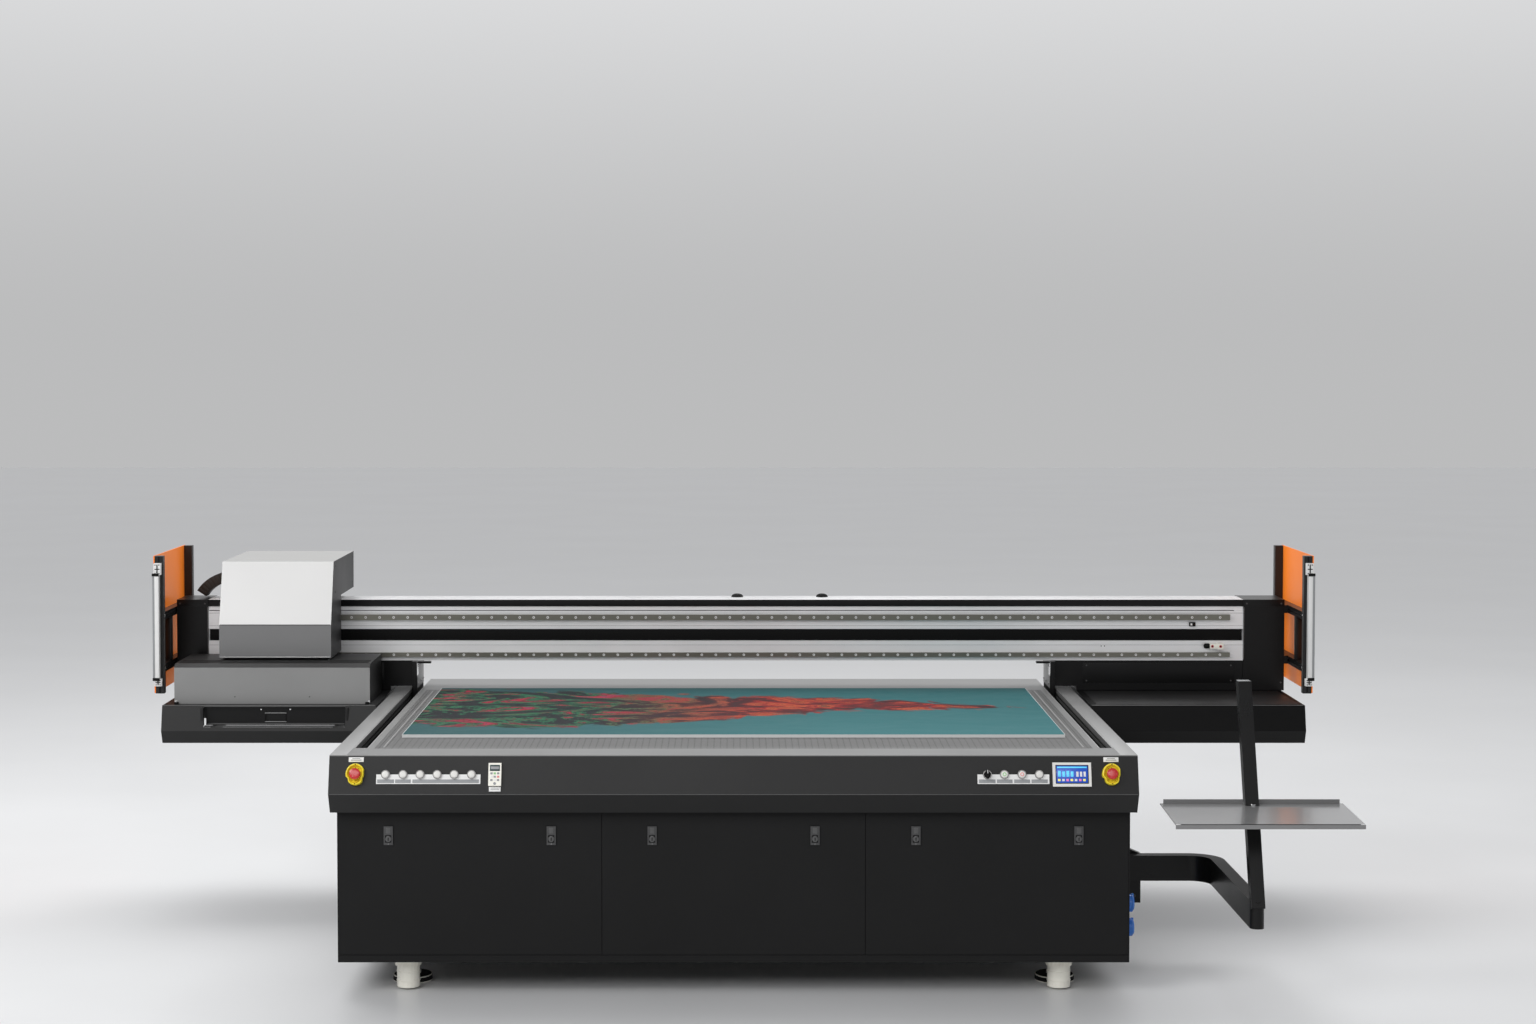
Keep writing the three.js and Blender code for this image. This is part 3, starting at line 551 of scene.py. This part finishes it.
CAD_FINISH = {
    "base_frame": ("cabinet", 0), "cabinet_shell": ("cabinet", 0), "control_fascia": ("powder", 1.6),
    "table_frame": ("table", 1.2), "vacuum_bed": ("bed", 0), "print_board": ("board", 0),
    "shelf_stand": ("satin", 2), "laptop_shelf": ("shelf", 0.7), "vacuum_blower": ("cast", 2),
    "gantry_beam": ("aluminium", 0.6), "head_rail_upper": ("rail", 1.2), "head_rail_lower": ("rail", 1.2),
    "gantry_wing_left": ("satin", 1.5), "gantry_wing_right": ("satin", 1.5),
    "end_cap_left": ("satin", 1.2), "end_cap_right": ("satin", 1.2),
    # The right tray takes the darker tray copy of the powder finish: painted shade.
    "wing_tray_left": ("powder", 1.2), "wing_tray_right": ("tray", 1.2),
    "guard_frame_left": ("guard", 1), "guard_frame_right": ("guard", 1),
    "guard_window_left": ("pane", 0.8), "guard_window_right": ("pane", 0.8),
    "cap_station": ("station", 1.2), "head_cover": ("head", 1.5), "head_carriage": ("carriage", 0.8),
    "print_carriage": ("carriage", 2), "waste_drawer": ("satin", 0.6),
    "button_plate_left": ("label", 0), "button_plate_right": ("label", 0),
    "touch_screen": ("white", 2.2), "pump_keypad": ("cream", 2),
    "power_inlets": ("blue", 0.8), "cable_chain": ("chain", 0),
}


def dress_frame():
    for node, (finish, edge) in CAD_FINISH.items():
        dress(node, finish, edge)
    for end in ("front", "rear"):
        for side in SIDES:
            dress(f"foot_{end}_{side}", "cream", 1.2)
    for label in ("left", "middle", "right"):
        dress(f"door_{label}", "cabinet", 0.5)
        for end in "ab":
            dress(f"latch_{label}_{end}", "latch", 0.6)


# ---- controls ----
VACUUM_BUTTONS_X = (-1246, -1183, -1122, -1061, -1000, -938)
BUTTONS = {f"vacuum_button_{k + 1}": (x, "white") for k, x in enumerate(VACUUM_BUTTONS_X)}
BUTTONS.update({
    "start_button": (969, "green"), "stop_button": (1032, "pink"), "reset_button": (1094, "white"),
})
SELECTOR_X = 908
ESTOP_X = 1353


def push_buttons():
    panel = panel_matrix()
    for node, (x, finish) in BUTTONS.items():
        dome = [(11.4, 0), (12, -0.8), (12, -6.5), (11.2, -7.6), (8.5, -8.3), (4, -8.5), (0.5, -8.5)]
        cap = Build(f"{node}_cap", panel)
        cap.lathe((x, -5.5, 0), (0, 1, 0), dome, "white")
        if finish != "white":
            cap.disc((x, -13.8, 0), (0, -1, 0), 7, 0.5, finish, 24)
        cap.disc((x, -14.1, 0), (0, -1, 0), 4, 0.5, "white", 24)
        cap.done(node, (node,))
    right_xs = [SELECTOR_X] + [x for x, _ in BUTTONS.values() if x > 0]
    for side, xs in (("left", VACUUM_BUTTONS_X), ("right", right_xs)):
        rings = Build(f"button_rings_{side}", panel)
        for x in xs:
            hollow_ring(rings, x, bezel_section, "ring", 32)
        rings.done("table")


def hollow_ring(build, x, section, finish, sides):
    """A ring round the control at x, open in the middle; section(angle) gives its (radius, y) outline."""
    part = bmesh.new()
    rings = []
    for k in range(sides):
        angle = 2 * math.pi * k / sides
        rings.append([part.verts.new((x + r * math.cos(angle), y, r * math.sin(angle)))
                      for r, y in section(angle)])
    for k in range(sides):
        a, b = rings[k], rings[(k + 1) % sides]
        for j in range(len(a)):
            i = (j + 1) % len(a)
            part.faces.new((a[j], a[i], b[i], b[j]))
    build.take(part, finish)


def bezel_section(_angle):
    """Section of the metal ring over one button's CAD bezel."""
    return ((12.7, -2.6), (12.7, -9.3), (13.4, -9.9), (15.0, -9.9), (15.8, -9.2), (15.8, -2.6))


def selector():
    knob = Build("selector_knob", panel_matrix())
    knob.lathe((SELECTOR_X, -2.5, 0), (0, -1, 0), [(12, 0), (12, 11), (11, 11.8), (2, 11.8)], "rubber")
    knob.box((SELECTOR_X - 4.5, SELECTOR_X + 4.5), (-26, -13.5), (-15, 15), "rubber", 1.6, 3)
    knob.box((SELECTOR_X - 1, SELECTOR_X + 1), (-26.6, -25.6), (2, 14), "label", 0.2)
    knob.done("power_selector", ("power_selector",))


SHROUD_NOTCHES = (212, -30)  # degrees round the shroud


def shroud_reach(angle):
    """Outline of the yellow shroud: taller than wide, flat on the right, with two finger notches."""
    oval = 1 / math.hypot(math.cos(angle) / 34.5, math.sin(angle) / 38.5)
    flat = 30 / math.cos(angle) if math.cos(angle) > 0.3 else oval
    notch = max(0, *(math.cos(angle - math.radians(place)) for place in SHROUD_NOTCHES))
    return min(oval, flat) - 5 * notch ** 40


def shroud_section(angle):
    """Section of the yellow shroud: a raised rim over a sunken floor, open in the middle."""
    reach = shroud_reach(angle)
    return ((15.5, -2.2), (15.5, -8.5), (21, -9), (reach - 9.5, -12), (reach - 6.5, -20.5),
            (reach - 4, -22), (reach - 1.5, -21), (reach - 0.2, -18), (reach, -2.2))


def emergency_stops():
    for name, side in SIDES.items():
        x = side * ESTOP_X
        guard_ring = Build(f"estop_shroud_{name}", panel_matrix())
        hollow_ring(guard_ring, x, shroud_section, "yellow", 72)
        for angle in (60, 90, 120, 240, 270, 300):
            turn = math.radians(angle)
            place = (x + 23.5 * math.cos(turn), -9.4, 23.5 * math.sin(turn))
            guard_ring.disc(place, (0, -1, 0), 1.6, 1.2, "rubber", 8)
        guard_ring.done("table", (f"estop_guard_{name}",))
        head = Build(f"estop_head_{name}", panel_matrix())
        head.lathe((x, -9, 0), (0, -1, 0), [
            (8, 0), (8.4, 3), (13.5, 3.5), (14, 5), (14, 13), (18.6, 13.4), (20, 15), (20, 23),
            (19.2, 25.2), (16.5, 26.4), (10, 26.9), (1, 27)], "red", 40)
        for k in range(3):
            angle = 2 * math.pi * k / 3
            dx, dz = 13 * math.cos(angle), 13 * math.sin(angle)
            head.disc((x + dx, -35.4, dz), (0, -1, 0), 1.8, 0.7, "red", 12)
        head.done(f"estop_button_{name}", (f"estop_button_{name}",))
        label = Build(f"estop_label_{name}", panel_matrix())
        label.box((x - 27, x + 27), (-1.6, -0.1), (46, 63), "label", 0.4)
        label.box((x - 19, x + 19), (-1.9, -1.5), (51, 54), "label_grey", 0.1)
        label.box((x - 14, x + 14), (-1.9, -1.5), (57, 59.5), "label_grey", 0.1)
        label.done("table")
        for sign in (-1, 1):
            tab = Build(f"estop_tab_{name}_{'a' if sign < 0 else 'b'}", panel_matrix())
            tab.disc((x, -21.2, sign * 34.5), (0, -1, 0), 2.2, 0.9, "rubber", 12)
            tab.done("table")


LABEL_FIELDS = (
    (-1275, -1215), (-1211, -1155), (-1149, -911),
    (878, 937), (942, 998), (1004, 1061), (1066, 1124),
)


def button_labels():
    """Blank grey fields along the lower half of the white strips."""
    strips = Build("button_labels", panel_matrix())
    for field in LABEL_FIELDS:
        strips.box(field, (-3.0, -2.4), (-30, -17), "label_grey", 0.1)
    strips.done("table")


def fascia_fold_highlight():
    """A painted highlight: a slightly paler strip along the bend between the sloping panel and the lower
    face, where the powder coat catches the light.
    """
    fold = Build("fascia_fold_highlight")
    fold.box((-1448, 1448), (-1103.5, -1101.5), (744.4, 746.6), "fold", 0.4)
    fold.done("table")


def screens():
    touch = Build("touch_display", panel_matrix())
    touch.box((1152, 1270), (-9.6, -8.8), (-33, 34), "rubber", 0.3)
    touch.box((1155, 1267), (-9.9, -9.4), (-30, 31), "display", 0.2)
    touch.box((1158, 1264), (-10.2, -9.8), (23, 28), "cyan", 0.1)
    for k in range(4):
        x = 1161 + 15 * k
        touch.box((x, x + 10), (-10.2, -9.8), (-8, 13 - 2 * (k % 2)), "cyan", 0.1)
    for k in range(3):
        x = 1226 + 13 * k
        touch.box((x, x + 8), (-10.2, -9.8), (-8, 10), "label", 0.1)
    for k in range(7):
        x = 1160 + 15 * k
        finish = ("lemon", "label", "rose")[k % 3]
        touch.box((x, x + 9), (-10.2, -9.8), (-24, -16), finish, 0.1)
    touch.done("table")
    pad = Build("keypad_face", panel_matrix())
    pad.box((-872, -836), (-13.7, -12.8), (12, 34), "lcd", 0.3)
    pad.box((-868, -840), (-14.0, -13.5), (18, 28), "label_grey", 0.1)
    keys = ("label_grey", "green", "label_grey",
            "label", "label_grey", "pink",
            "label_grey", "label", "label_grey")
    for k, finish in enumerate(keys):
        x = -866 + 12 * (k % 3)
        z = 4 - 12 * (k // 3)
        pad.box((x - 4, x + 4), (-14.2, -12.8), (z - 4, z + 3), finish, 0.8)
    pad.disc((-854, -12.8, -33), (0, -1, 0), 5, 1.6, "label_grey", 20)
    pad.box((-875, -833), (-1.8, -0.2), (-60, -43), "label", 0.4)
    pad.box((-869, -839), (-2.1, -1.7), (-53, -50), "label_grey", 0.1)
    pad.done("table")


# ---- gantry ----
RAIL_FRONT = 732.5
RAIL_BOLTS = 72


def beam_details():
    beam = Build("beam_cover")
    beam.box((-2252, 2186), (750.6, 753.5), (1233, 1261.4), "satin", 0.4)
    beam.box((-2252, 2186), (755, 905), (1261.2, 1262), "aluminium", 0.3)
    for side in SIDES.values():
        beam.box(span(side, 1296, 1353), (718, 742), (991, 999.4), "satin", 0.6)
        beam.box(span(side, 1352.4, 1353.6), (700, 752), (940, 999.4), "bright", 0.3)
    beam.box((-2250, 2147), (751.2, 752.6), (1213.6, 1216.2), "rubber", 0.2)
    beam.box((-2250, 2186), (751.5, 752.5), (1203, 1204.5), "upright", 0.2)
    beam.box((-2250, 2186), (751.5, 752.5), (1149, 1150.2), "upright", 0.2)
    beam.box((-2250, 2186), (751.5, 752.5), (1066, 1067.2), "upright", 0.2)
    beam.done("gantry")
    belt = Build("drive_belt")
    belt.box((-2248, 2182), (753.4, 757.2), (1086.5, 1134.5), "belt", 0.5)
    for z in (1094, 1102, 1110, 1118, 1126):
        belt.box((-2248, 2182), (752.9, 753.8), (z, z + 2.2), "belt", 0.3)
    belt.done("gantry")
    for name, z in (("upper", 1187), ("lower", 1026.5)):
        bolts = Build(f"rail_bolts_{name}")
        for k in range(RAIL_BOLTS):
            x = -2176 + 60 * k
            bolts.disc((x, RAIL_FRONT + 0.4, z), (0, -1, 0), 5.4, 0.9, "label", 10)
            bolts.disc((x, RAIL_FRONT - 0.3, z), (0, -1, 0), 2.2, 0.4, "rubber", 6)
        bolts.done("gantry")
    stop = Build("travel_stop")
    stop.box((2072, 2097), (716, 751), (1051, 1077), "cream", 1)
    stop.box((2040, 2073), (722, 751), (1053, 1075), "cream", 1)
    for x in (2050, 2084):
        stop.disc((x, 722 if x < 2070 else 716.2, 1064), (0, -1, 0), 6, 0.8, "red", 16)
        stop.disc((x, 721.4 if x < 2070 else 715.6, 1064), (0, -1, 0), 3.2, 0.8, "rubber", 12)
    stop.lathe((2040, 737, 1064), (-1, 0, 0), [(8, 0), (11, 3), (11, 17), (9, 22), (4, 24.5)],
               "rubber", 24)
    stop.box((1954, 1980), (738, 751.5), (1148, 1165), "rubber", 1.2)
    stop.box((1958, 1966), (736.8, 738.4), (1152, 1161), "label", 0.3)
    for x in (1578, 1592):
        stop.disc((x, 752.2, 1062), (0, -1, 0), 2.4, 0.9, "rubber", 10)
    stop.done("gantry")
    domes = Build("beam_lifting_eyes")
    for x in (16, 383):
        domes.lathe((x, 880, 1261), (0, 0, 1), [(26, 0), (25, 5), (20, 10.5), (11, 14), (2, 15)],
                    "rubber", 24)
    domes.done("gantry")
    rear = Build("beam_rear_slots")
    for z in (1040, 1085, 1165, 1210):
        rear.box((-2248, 2182), (906.4, 908.0), (z, z + 9), "rubber", 0.3)
    for z in (1062, 1188):
        rear.box((-2248, 2182), (906.5, 907.8), (z, z + 2), "upright", 0.3)
    rear.done("gantry")


def uprights():
    for name, side in SIDES.items():
        face = Build(f"upright_face_{name}")
        inner = 1354
        face.box(span(side, inner - 1.4, inner + 0.4), (717, 933), (885, 998), "upright", 0.5)
        for y in (735, 825, 915):
            for z in (905, 980):
                face.disc((side * (inner - 1.2), y, z), (-side, 0, 0), 6, 3.0, "chrome", 14)
                face.disc((side * (inner - 4.0), y, z), (-side, 0, 0), 3, 0.5, "rubber", 6)
        face.box(span(side, 1356, 1374), (713.4, 715.6), (742, 998), "satin", 0.6)
        face.done("gantry")
        panel = Build(f"wing_panel_{name}")
        end = 2150 if side > 0 else 2215
        for y_face, out in ((752, -1), (900, 1)):
            y = sorted((y_face - 0.2 * out, y_face + 0.9 * out))
            panel.box(span(side, 1500, end), y, (903, 989), "satin", 0.4)
        for x in (1515, end - 15):
            for z in (913, 979):
                panel.disc((side * x, 750.8, z), (0, -1, 0), 3.6, 1.2, "latch", 12)
        panel.done("gantry")


def end_caps():
    for name, side in SIDES.items():
        outer = 2363 if side > 0 else 2388
        inner = 2187 if side > 0 else 2253
        cap = Build(f"end_cap_rim_{name}")
        cap.box(span(side, inner + 1, outer - 1), (748.8, 750.4), (1233, 1260), "satin", 0.4)
        cap.box(span(side, inner + 0.4, inner + 2.4), (748.6, 750.4), (1004, 1230), "upright", 0.4)
        for z in (905, 1245):
            for x in (inner + 14, outer - 14):
                cap.disc((side * x, 749.2, z), (0, -1, 0), 4, 1.4, "latch", 12)
        for k in range(9):
            z = 1010 + 16 * k
            cap.box(span(side, inner + 30, outer - 30), (939, 941.4), (z, z + 7), "rubber", 0.8)
        cap.done("gantry")


def tray_details():
    ledge = Build("drawer_surround")
    ledge.box((-2192, -2181), (275, 300), (787, 862), "powder", 1)
    ledge.box((-1596, -1585), (275, 300), (787, 862), "powder", 1)
    ledge.box((-2181, -1596), (288.6, 290.4), (865.5, 868.5), "lock", 0.4)
    ledge.box((-2181, -1596), (272, 310), (783.5, 785.2), "lock", 0.4)
    ledge.done("gantry")
    pull = Build("drawer_pull")
    middle = (-2180 - 1597) / 2
    for z0, z1 in ((835, 838), (799, 802)):
        pull.box((middle - 44, middle + 44), (308.5, 312), (z0, z1), "upright", 0.4)
    for x in (middle - 44, middle + 41):
        pull.box((x, x + 3), (308.5, 312), (802, 835), "rubber", 0.4)
    for x in (middle - 60, middle + 60):
        pull.disc((x, 312, 851), (0, -1, 0), 3.2, 1.6, "bright", 12)
    pull.box((-2172, -1605), (310.6, 312.2), (788, 794), "lock", 0.3)
    pull.done("waste_drawer")
    for name, side in SIDES.items():
        lid = Build(f"tray_lid_{name}")
        x0, x1 = (1476, 2348)
        lid.box(span(side, x0, x1), (292, 296), (869.6, 870.8), "upright", 0.3)
        if side > 0:
            lid.box((1500, 2330), (320, 730), (869.8, 870.9), "powder", 0.4)
        for x in (1500, 1900, 2320):
            lid.disc((side * x, 305, 869.6), (0, 0, 1), 4, 1.0, "latch", 12)
        for k in range(6):
            z = 745 + 18 * k
            lid.box(span(side, 1700, 2120), (999.2, 1001.4), (z, z + 7), "rubber", 0.6)
        lid.done("gantry")


PRINT_LEFT, PRINT_RIGHT = -2125, -1709


def station_details():
    left, right = -2311, -1503
    trim = Build("station_trim")
    trim.box((left + 2, right - 2), (334.2, 336), (1018.2, 1020.6), "upright", 0.3)
    for x in (left, right - 9):
        trim.box((x + 0.5, x + 9.5), (334.0, 336), (872, 884), "bright", 0.5)
    for x in (left + 2, right - 18):
        trim.box((x, x + 16), (322, 334), (870.9, 879), "rubber", 1.0)
    for x in (left + 250, right - 250):
        trim.disc((x, 335.2, 900), (0, -1, 0), 2.6, 1.2, "latch", 10)
    for k in range(5):
        y = 366 + 22 * k
        trim.box((left + 12, right - 12), (y, y + 10), (1035.4, 1036.6), "rubber", 0.3)
    trim.box((PRINT_LEFT - 16, PRINT_LEFT - 13), (480, 680), (1034, 1037.4), "upright", 0.4)
    trim.box((PRINT_RIGHT + 13, PRINT_RIGHT + 16), (480, 680), (1034, 1037.4), "upright", 0.4)
    trim.done("gantry")


def guards():
    for name, side in SIDES.items():
        x, front, rear, bottom, top = 2390, 500, 1075, 891, 1469
        height = (bottom + 3, top - 2)
        slots = Build(f"guard_grooves_{name}")
        for y0 in (front, rear):
            slots.box(span(side, x - 0.8, x + 0.4), (y0 + 14, y0 + 21), height, "rubber", 0.2)
            for edge in (y0 + 11, y0 + 22.4):
                slots.box(span(side, x - 0.9, x + 0.3), (edge, edge + 1.6), height, "upright", 0.2)
        slots.box(span(side, x + 14, x + 21), (front - 0.8, front + 0.4), height, "rubber", 0.2)
        for z0, z1 in ((1199, 1233), (980, 1014)):
            middle = (z0 + z1) / 2
            slots.box(span(side, x - 0.8, x + 0.4), (front + 36, rear - 1),
                      (middle - 3.5, middle + 3.5), "rubber", 0.2)
            slots.disc((side * (x - 0.2), front + 24, middle), (-side, 0, 0), 5, 2.2, "bright", 12)
        slots.box(span(side, x + 2.6, x + 30), (653.6, 691.4), (1015, 1198), "guard", 1.0)
        slots.box(span(side, x + 2.0, x + 2.9), (668, 677), (1017, 1196), "lock", 0.2)
        slots.done("gantry")
        curtain = Build(f"light_curtain_{name}")
        cx0, cx1 = x + 12.4, x + 40.6
        lens = (961, 1386)
        curtain.box(span(side, cx0 + 1, cx0 + 17), (front - 31, front - 28.6), lens, "label", 0.6)
        curtain.box(span(side, cx0 + 19, cx1 - 1), (front - 30.6, front - 28.6), lens, "label_grey", 0.6)
        for z in (954, 1393):
            curtain.box(span(side, cx0 - 0.4, cx1), (front - 31.6, front - 28.4),
                        (z - 6, z + 6), "rubber", 0.6)
        for z0, z1 in ((925, 955), (1392, 1440)):
            plate, mark = (front - 25.4, front - 3), (front - 26.2, front - 25)
            curtain.box(span(side, x + 4.6, x + 34.4), plate, (z0 - 0.4, z1 + 0.4), "label", 1.0)
            middle = (z0 + z1) / 2
            curtain.box(span(side, x + 9, x + 30), mark, (middle - 2, middle + 2), "rubber", 0.3)
            curtain.box(span(side, x + 17, x + 22), mark, (z0 + 4, z1 - 4), "rubber", 0.3)
            for dx in (11.5, 27.5):
                for z in (z0 + 6, z1 - 6):
                    curtain.disc((side * (x + dx), front - 25.2, z), (0, -1, 0), 2.6, 1.2, "rubber", 12)
        curtain.done("gantry")


# ---- print head ----
def head_details():
    left, right = -2151, -1683.5
    trim = Build("head_trim")
    # Painted highlight: a bright strip along the bottom of the head front stands for the light caught on
    # that edge.
    trim.box((left + 2, right - 2), (470.0, 471.4), (1045.6, 1049.4), "bright", 0.4)
    trim.prism([(470.4, 1181.6), (470.1, 1183.2), (470.9, 1185), (471.8, 1184), (471.6, 1181.6)],
               (left + 3, right - 3), "latch", 0.2)
    for y in (600, 1090):
        for z in (1310, 1420):
            for x, out in ((right, 1), (left, -1)):
                trim.disc((x - 0.2 * out, y, z), (out, 0, 0), 4, 1.4, "latch", 12)
    trim.box((left + 60, right - 60), (1118.6, 1119.8), (1300, 1425), "cabinet", 0.5)
    for k in range(5):
        z = 1318 + 20 * k
        trim.box((left + 90, right - 90), (1118.9, 1119.95), (z, z + 8), "rubber", 0.3)
    for y in (760, 1000):
        trim.box((left + 4, right - 4), (y, y + 1.6), (1441.2, 1441.95), "latch", 0.2)
    trim.done("head")


def chain_links():
    """Link plates laid along the cable chain's bend."""
    centre = (-2172, 1195)
    outer, inner = 178, 132
    low_angle = math.pi - math.asin(72 / inner)
    links = Build("chain_links")
    links.finishes = ["chain"]
    count = 9
    for k in range(count):
        angle = math.pi / 2 + (low_angle - math.pi / 2) * (k + 0.5) / count
        middle = Matrix.Translation((centre[0], 0, centre[1]))
        turn = middle @ Matrix.Rotation(math.pi / 2 - angle, 4, "Y")
        half = 0.5 * (low_angle - math.pi / 2) / count * outer * 0.8
        for y0, y1 in ((848.5, 853), (917, 921.5)):
            part = Build("link", turn)
            part.box((-half, half), (y0, y1), (inner + 3, outer - 3), "chain", 2)
            mesh = bpy.data.meshes.new("link")
            part.shape.to_mesh(mesh)
            part.shape.free()
            links.shape.from_mesh(mesh)
            bpy.data.meshes.remove(mesh)
    links.done("head")


# ---- cabinet, feet, shelf, sockets ----
def cabinet_details():
    for n, label in enumerate(("left", "middle", "right")):
        centre = (n - 1) * 952
        plates = Build(f"lock_plates_{label}")
        for side in (-1, 1):
            x = centre + side * 294
            for z0, z1 in ((548, 556.5), (584, 616)):
                plates.box((x - 16.5, x + 16.5), (-1024.4, -1022.6), (z0, z1), "latch", 0.5)
            for x0, x1 in ((x - 16.5, x - 11.6), (x + 11.6, x + 16.5)):
                plates.box((x0, x1), (-1024.4, -1022.6), (556, 584.4), "latch", 0.5)
            plates.box((x - 8, x + 8), (-1025.2, -1024), (590, 611), "lock", 0.5)
            for z in (596, 606):
                plates.disc((x, -1024.2, z), (0, -1, 0), 1.7, 0.8, "upright", 10)
            plates.disc((x, -1024.2, 552), (0, -1, 0), 1.6, 0.8, "upright", 10)
        plates.done(f"door_{label}")
        for side, end in ((-1, "a"), (1, "b")):
            x = centre + side * 294
            key = Build(f"lock_key_{label}_{end}")
            key.lathe((x, -1024.8, 570), (0, -1, 0), [(10.4, 0), (10.4, 0.7), (9.2, 1.2), (2, 1.2)],
                      "lock", 28)
            key.box((x - 1.6, x + 1.6), (-1026.6, -1025.6), (564, 576), "rubber", 0.3)
            key.done(f"latch_{label}_{end}")
    rear = Build("rear_panels")
    for x in (-952, 0, 952):
        rear.box((x - 440, x + 440), (1019.4, 1021.4), (170, 790), "cabinet", 0.8)
        for k in range(14):
            z = 560 + 14 * k
            rear.box((x - 180, x + 180), (1021, 1023), (z, z + 6), "rubber", 1.0)
        for dx in (-425, 425):
            for z in (185, 480, 775):
                rear.disc((x + dx, 1021, z), (0, 1, 0), 5, 1.8, "latch", 12)
    rear.done("table")
    for name, side in SIDES.items():
        flank = Build(f"side_panel_{name}")
        for y in (-330, 620) if side > 0 else (-520, 520):
            flank.box(span(side, 1430.4, 1432), (y + 70 - 380, y + 380), (450, 800), "cabinet", 0.5)
            for k in range(10):
                z = 620 + 14 * k
                flank.box(span(side, 1431.4, 1433.4), (y - 120, y + 160), (z, z + 6), "rubber", 0.8)
        flank.done("table")


def brush_seals_and_slot_shade():
    for name, side in SIDES.items():
        # Black strips filling the table slots beside each upright: brush seals, and also painted shade
        # standing for the dark inside of the slot.
        seal = Build(f"slot_brush_and_shade_{name}")
        seal.box(span(side, 1338.4, 1352), (-894, 1061), (858, 864), "rubber", 1)
        seal.box(span(side, 1377.5, 1381.6), (-894, 1061), (858, 864), "rubber", 1)
        seal.done("table")
        rim = Build(f"slot_rim_{name}")
        rim.box(span(side, 1333, 1337.6), (-900, 1061), (879.6, 880.7), "edge_strip", 0.3)
        rim.box(span(side, 1382.4, 1387), (-900, 1061), (879.6, 880.7), "edge_strip", 0.3)
        rim.box(span(side, 1388, 1449), (-1058, 1061), (879.8, 880.5), "edge_strip", 0.3)
        rim.done("table")


def foot_details():
    for end_name, end in (("front", -1), ("rear", 1)):
        for side_name, side in SIDES.items():
            x = side * 1190
            jack, pad = end * 908, end * 780
            foot = Build(f"foot_pad_{end_name}_{side_name}")
            foot.lathe((x, pad, 0.5), (0, 0, 1), [(70, 0), (72.6, 3), (72.6, 17), (68, 22.4), (32, 23.2)],
                       "rubber", 40)
            foot.lathe((x, pad, 34.2), (0, 0, 1), [(24, 0), (24, 5), (14.5, 5.5), (14.5, 60)],
                       "bright", 24)
            foot.done("table")
            ring = Build(f"foot_rings_{end_name}_{side_name}")
            for z in (28, 62):
                ring.lathe((x, jack, z), (0, 0, 1), [(42.2, 0), (43.6, 1), (43.6, 4), (42.2, 5)],
                           "cream", 40)
            ring.done("table")


def shelf_details():
    front_y, depth, rear_z, tilt = -1484, 336, 719, math.radians(2.5)
    front_edge = Matrix.Translation((0, front_y, rear_z - depth * math.sin(tilt)))
    shelf_turn = front_edge @ Matrix.Rotation(tilt, 4, "X")
    lip = Build("shelf_lip", shelf_turn)
    lip.box((1517, 2166), (0.5, 2.6), (-11.6, -0.5), "satin", 0.5)
    for x0, x1 in ((1516.5, 1532), (2151, 2166.5)):
        lip.box((x0, x1), (0.4, 9), (-12, 3.5), "bright", 0.8)
    lip.box((1534, 2149), (2, 8), (2.6, 4.4), "satin", 0.5)
    lip.disc((1841, 302, 2.4), (0, 0, 1), 9, 5, "chrome", 20)
    lip.box((1838, 1844), (296, 308), (7, 8.4), "rubber", 0.4)
    lip.done("table")


def post_top_highlight():
    foot_y, foot_z, top_z, lean = -1273, 400, 1142, math.radians(20)
    y = foot_y + math.tan(lean) * (top_z - foot_z)
    # Painted highlight: a light grey sheet on the post's top end stands for the light on it.
    cap = Build("post_top_highlight")
    cap.box((1816.5, 1861.5), (y - 20, y + 20), (1140.6, top_z), "label_grey", 0.6)
    cap.done("table")
    plate = Build("arm_bracket")
    plate.box((1432, 1560), (-426.6, -425.4), (214, 396), "satin", 0.4)
    for x in (1455, 1540):
        for z in (235, 375):
            plate.disc((x, -426, z), (0, -1, 0), 7, 3, "latch", 6)
    plate.done("table")


def sockets():
    x0 = 1431.5
    for name, z in (("upper", 311), ("lower", 222)):
        socket = Build(f"socket_{name}")
        socket.lathe((x0 + 3.6, -900, z), (1, 0, 0), [
            (36, 0), (36.5, 2), (33, 5), (31, 6), (31, 19), (32.4, 20), (32.4, 23), (30, 24.6), (26, 24.8),
            (25, 28.6), (4, 28.7)], "blue", 36)
        for k in range(12):
            angle = 2 * math.pi * k / 12
            y, dz = 31.4 * math.cos(angle), 31.4 * math.sin(angle)
            socket.box((x0 + 9, x0 + 22), (-900 + y - 1.6, -900 + y + 1.6), (z + dz - 1.6, z + dz + 1.6),
                       "blue", 0.6)
        socket.box((x0 + 24, x0 + 31.8), (-906, -894), (z + 22, z + 34), "blue", 1.2)
        socket.done("table")


bpy.context.scene.view_settings.view_transform = "Standard"
make_camera()
make_world()
make_stage()
soft_light("key", (-8, -8, 8), (-0.5, 0, 0.9), (6, 4), 560)
soft_light("front", (-2, -15, 8), (-0.5, 0, 1.2), (12, 3.5), 560)
soft_light("top", (-1, 3.5, 7.5), (0, 0.2, 0.9), (9, 4), 380)

dress_frame()
push_buttons()
selector()
emergency_stops()
button_labels()
fascia_fold_highlight()
screens()
beam_details()
uprights()
end_caps()
tray_details()
station_details()
guards()
head_details()
chain_links()
cabinet_details()
brush_seals_and_slot_shade()
foot_details()
shelf_details()
post_top_highlight()
sockets()
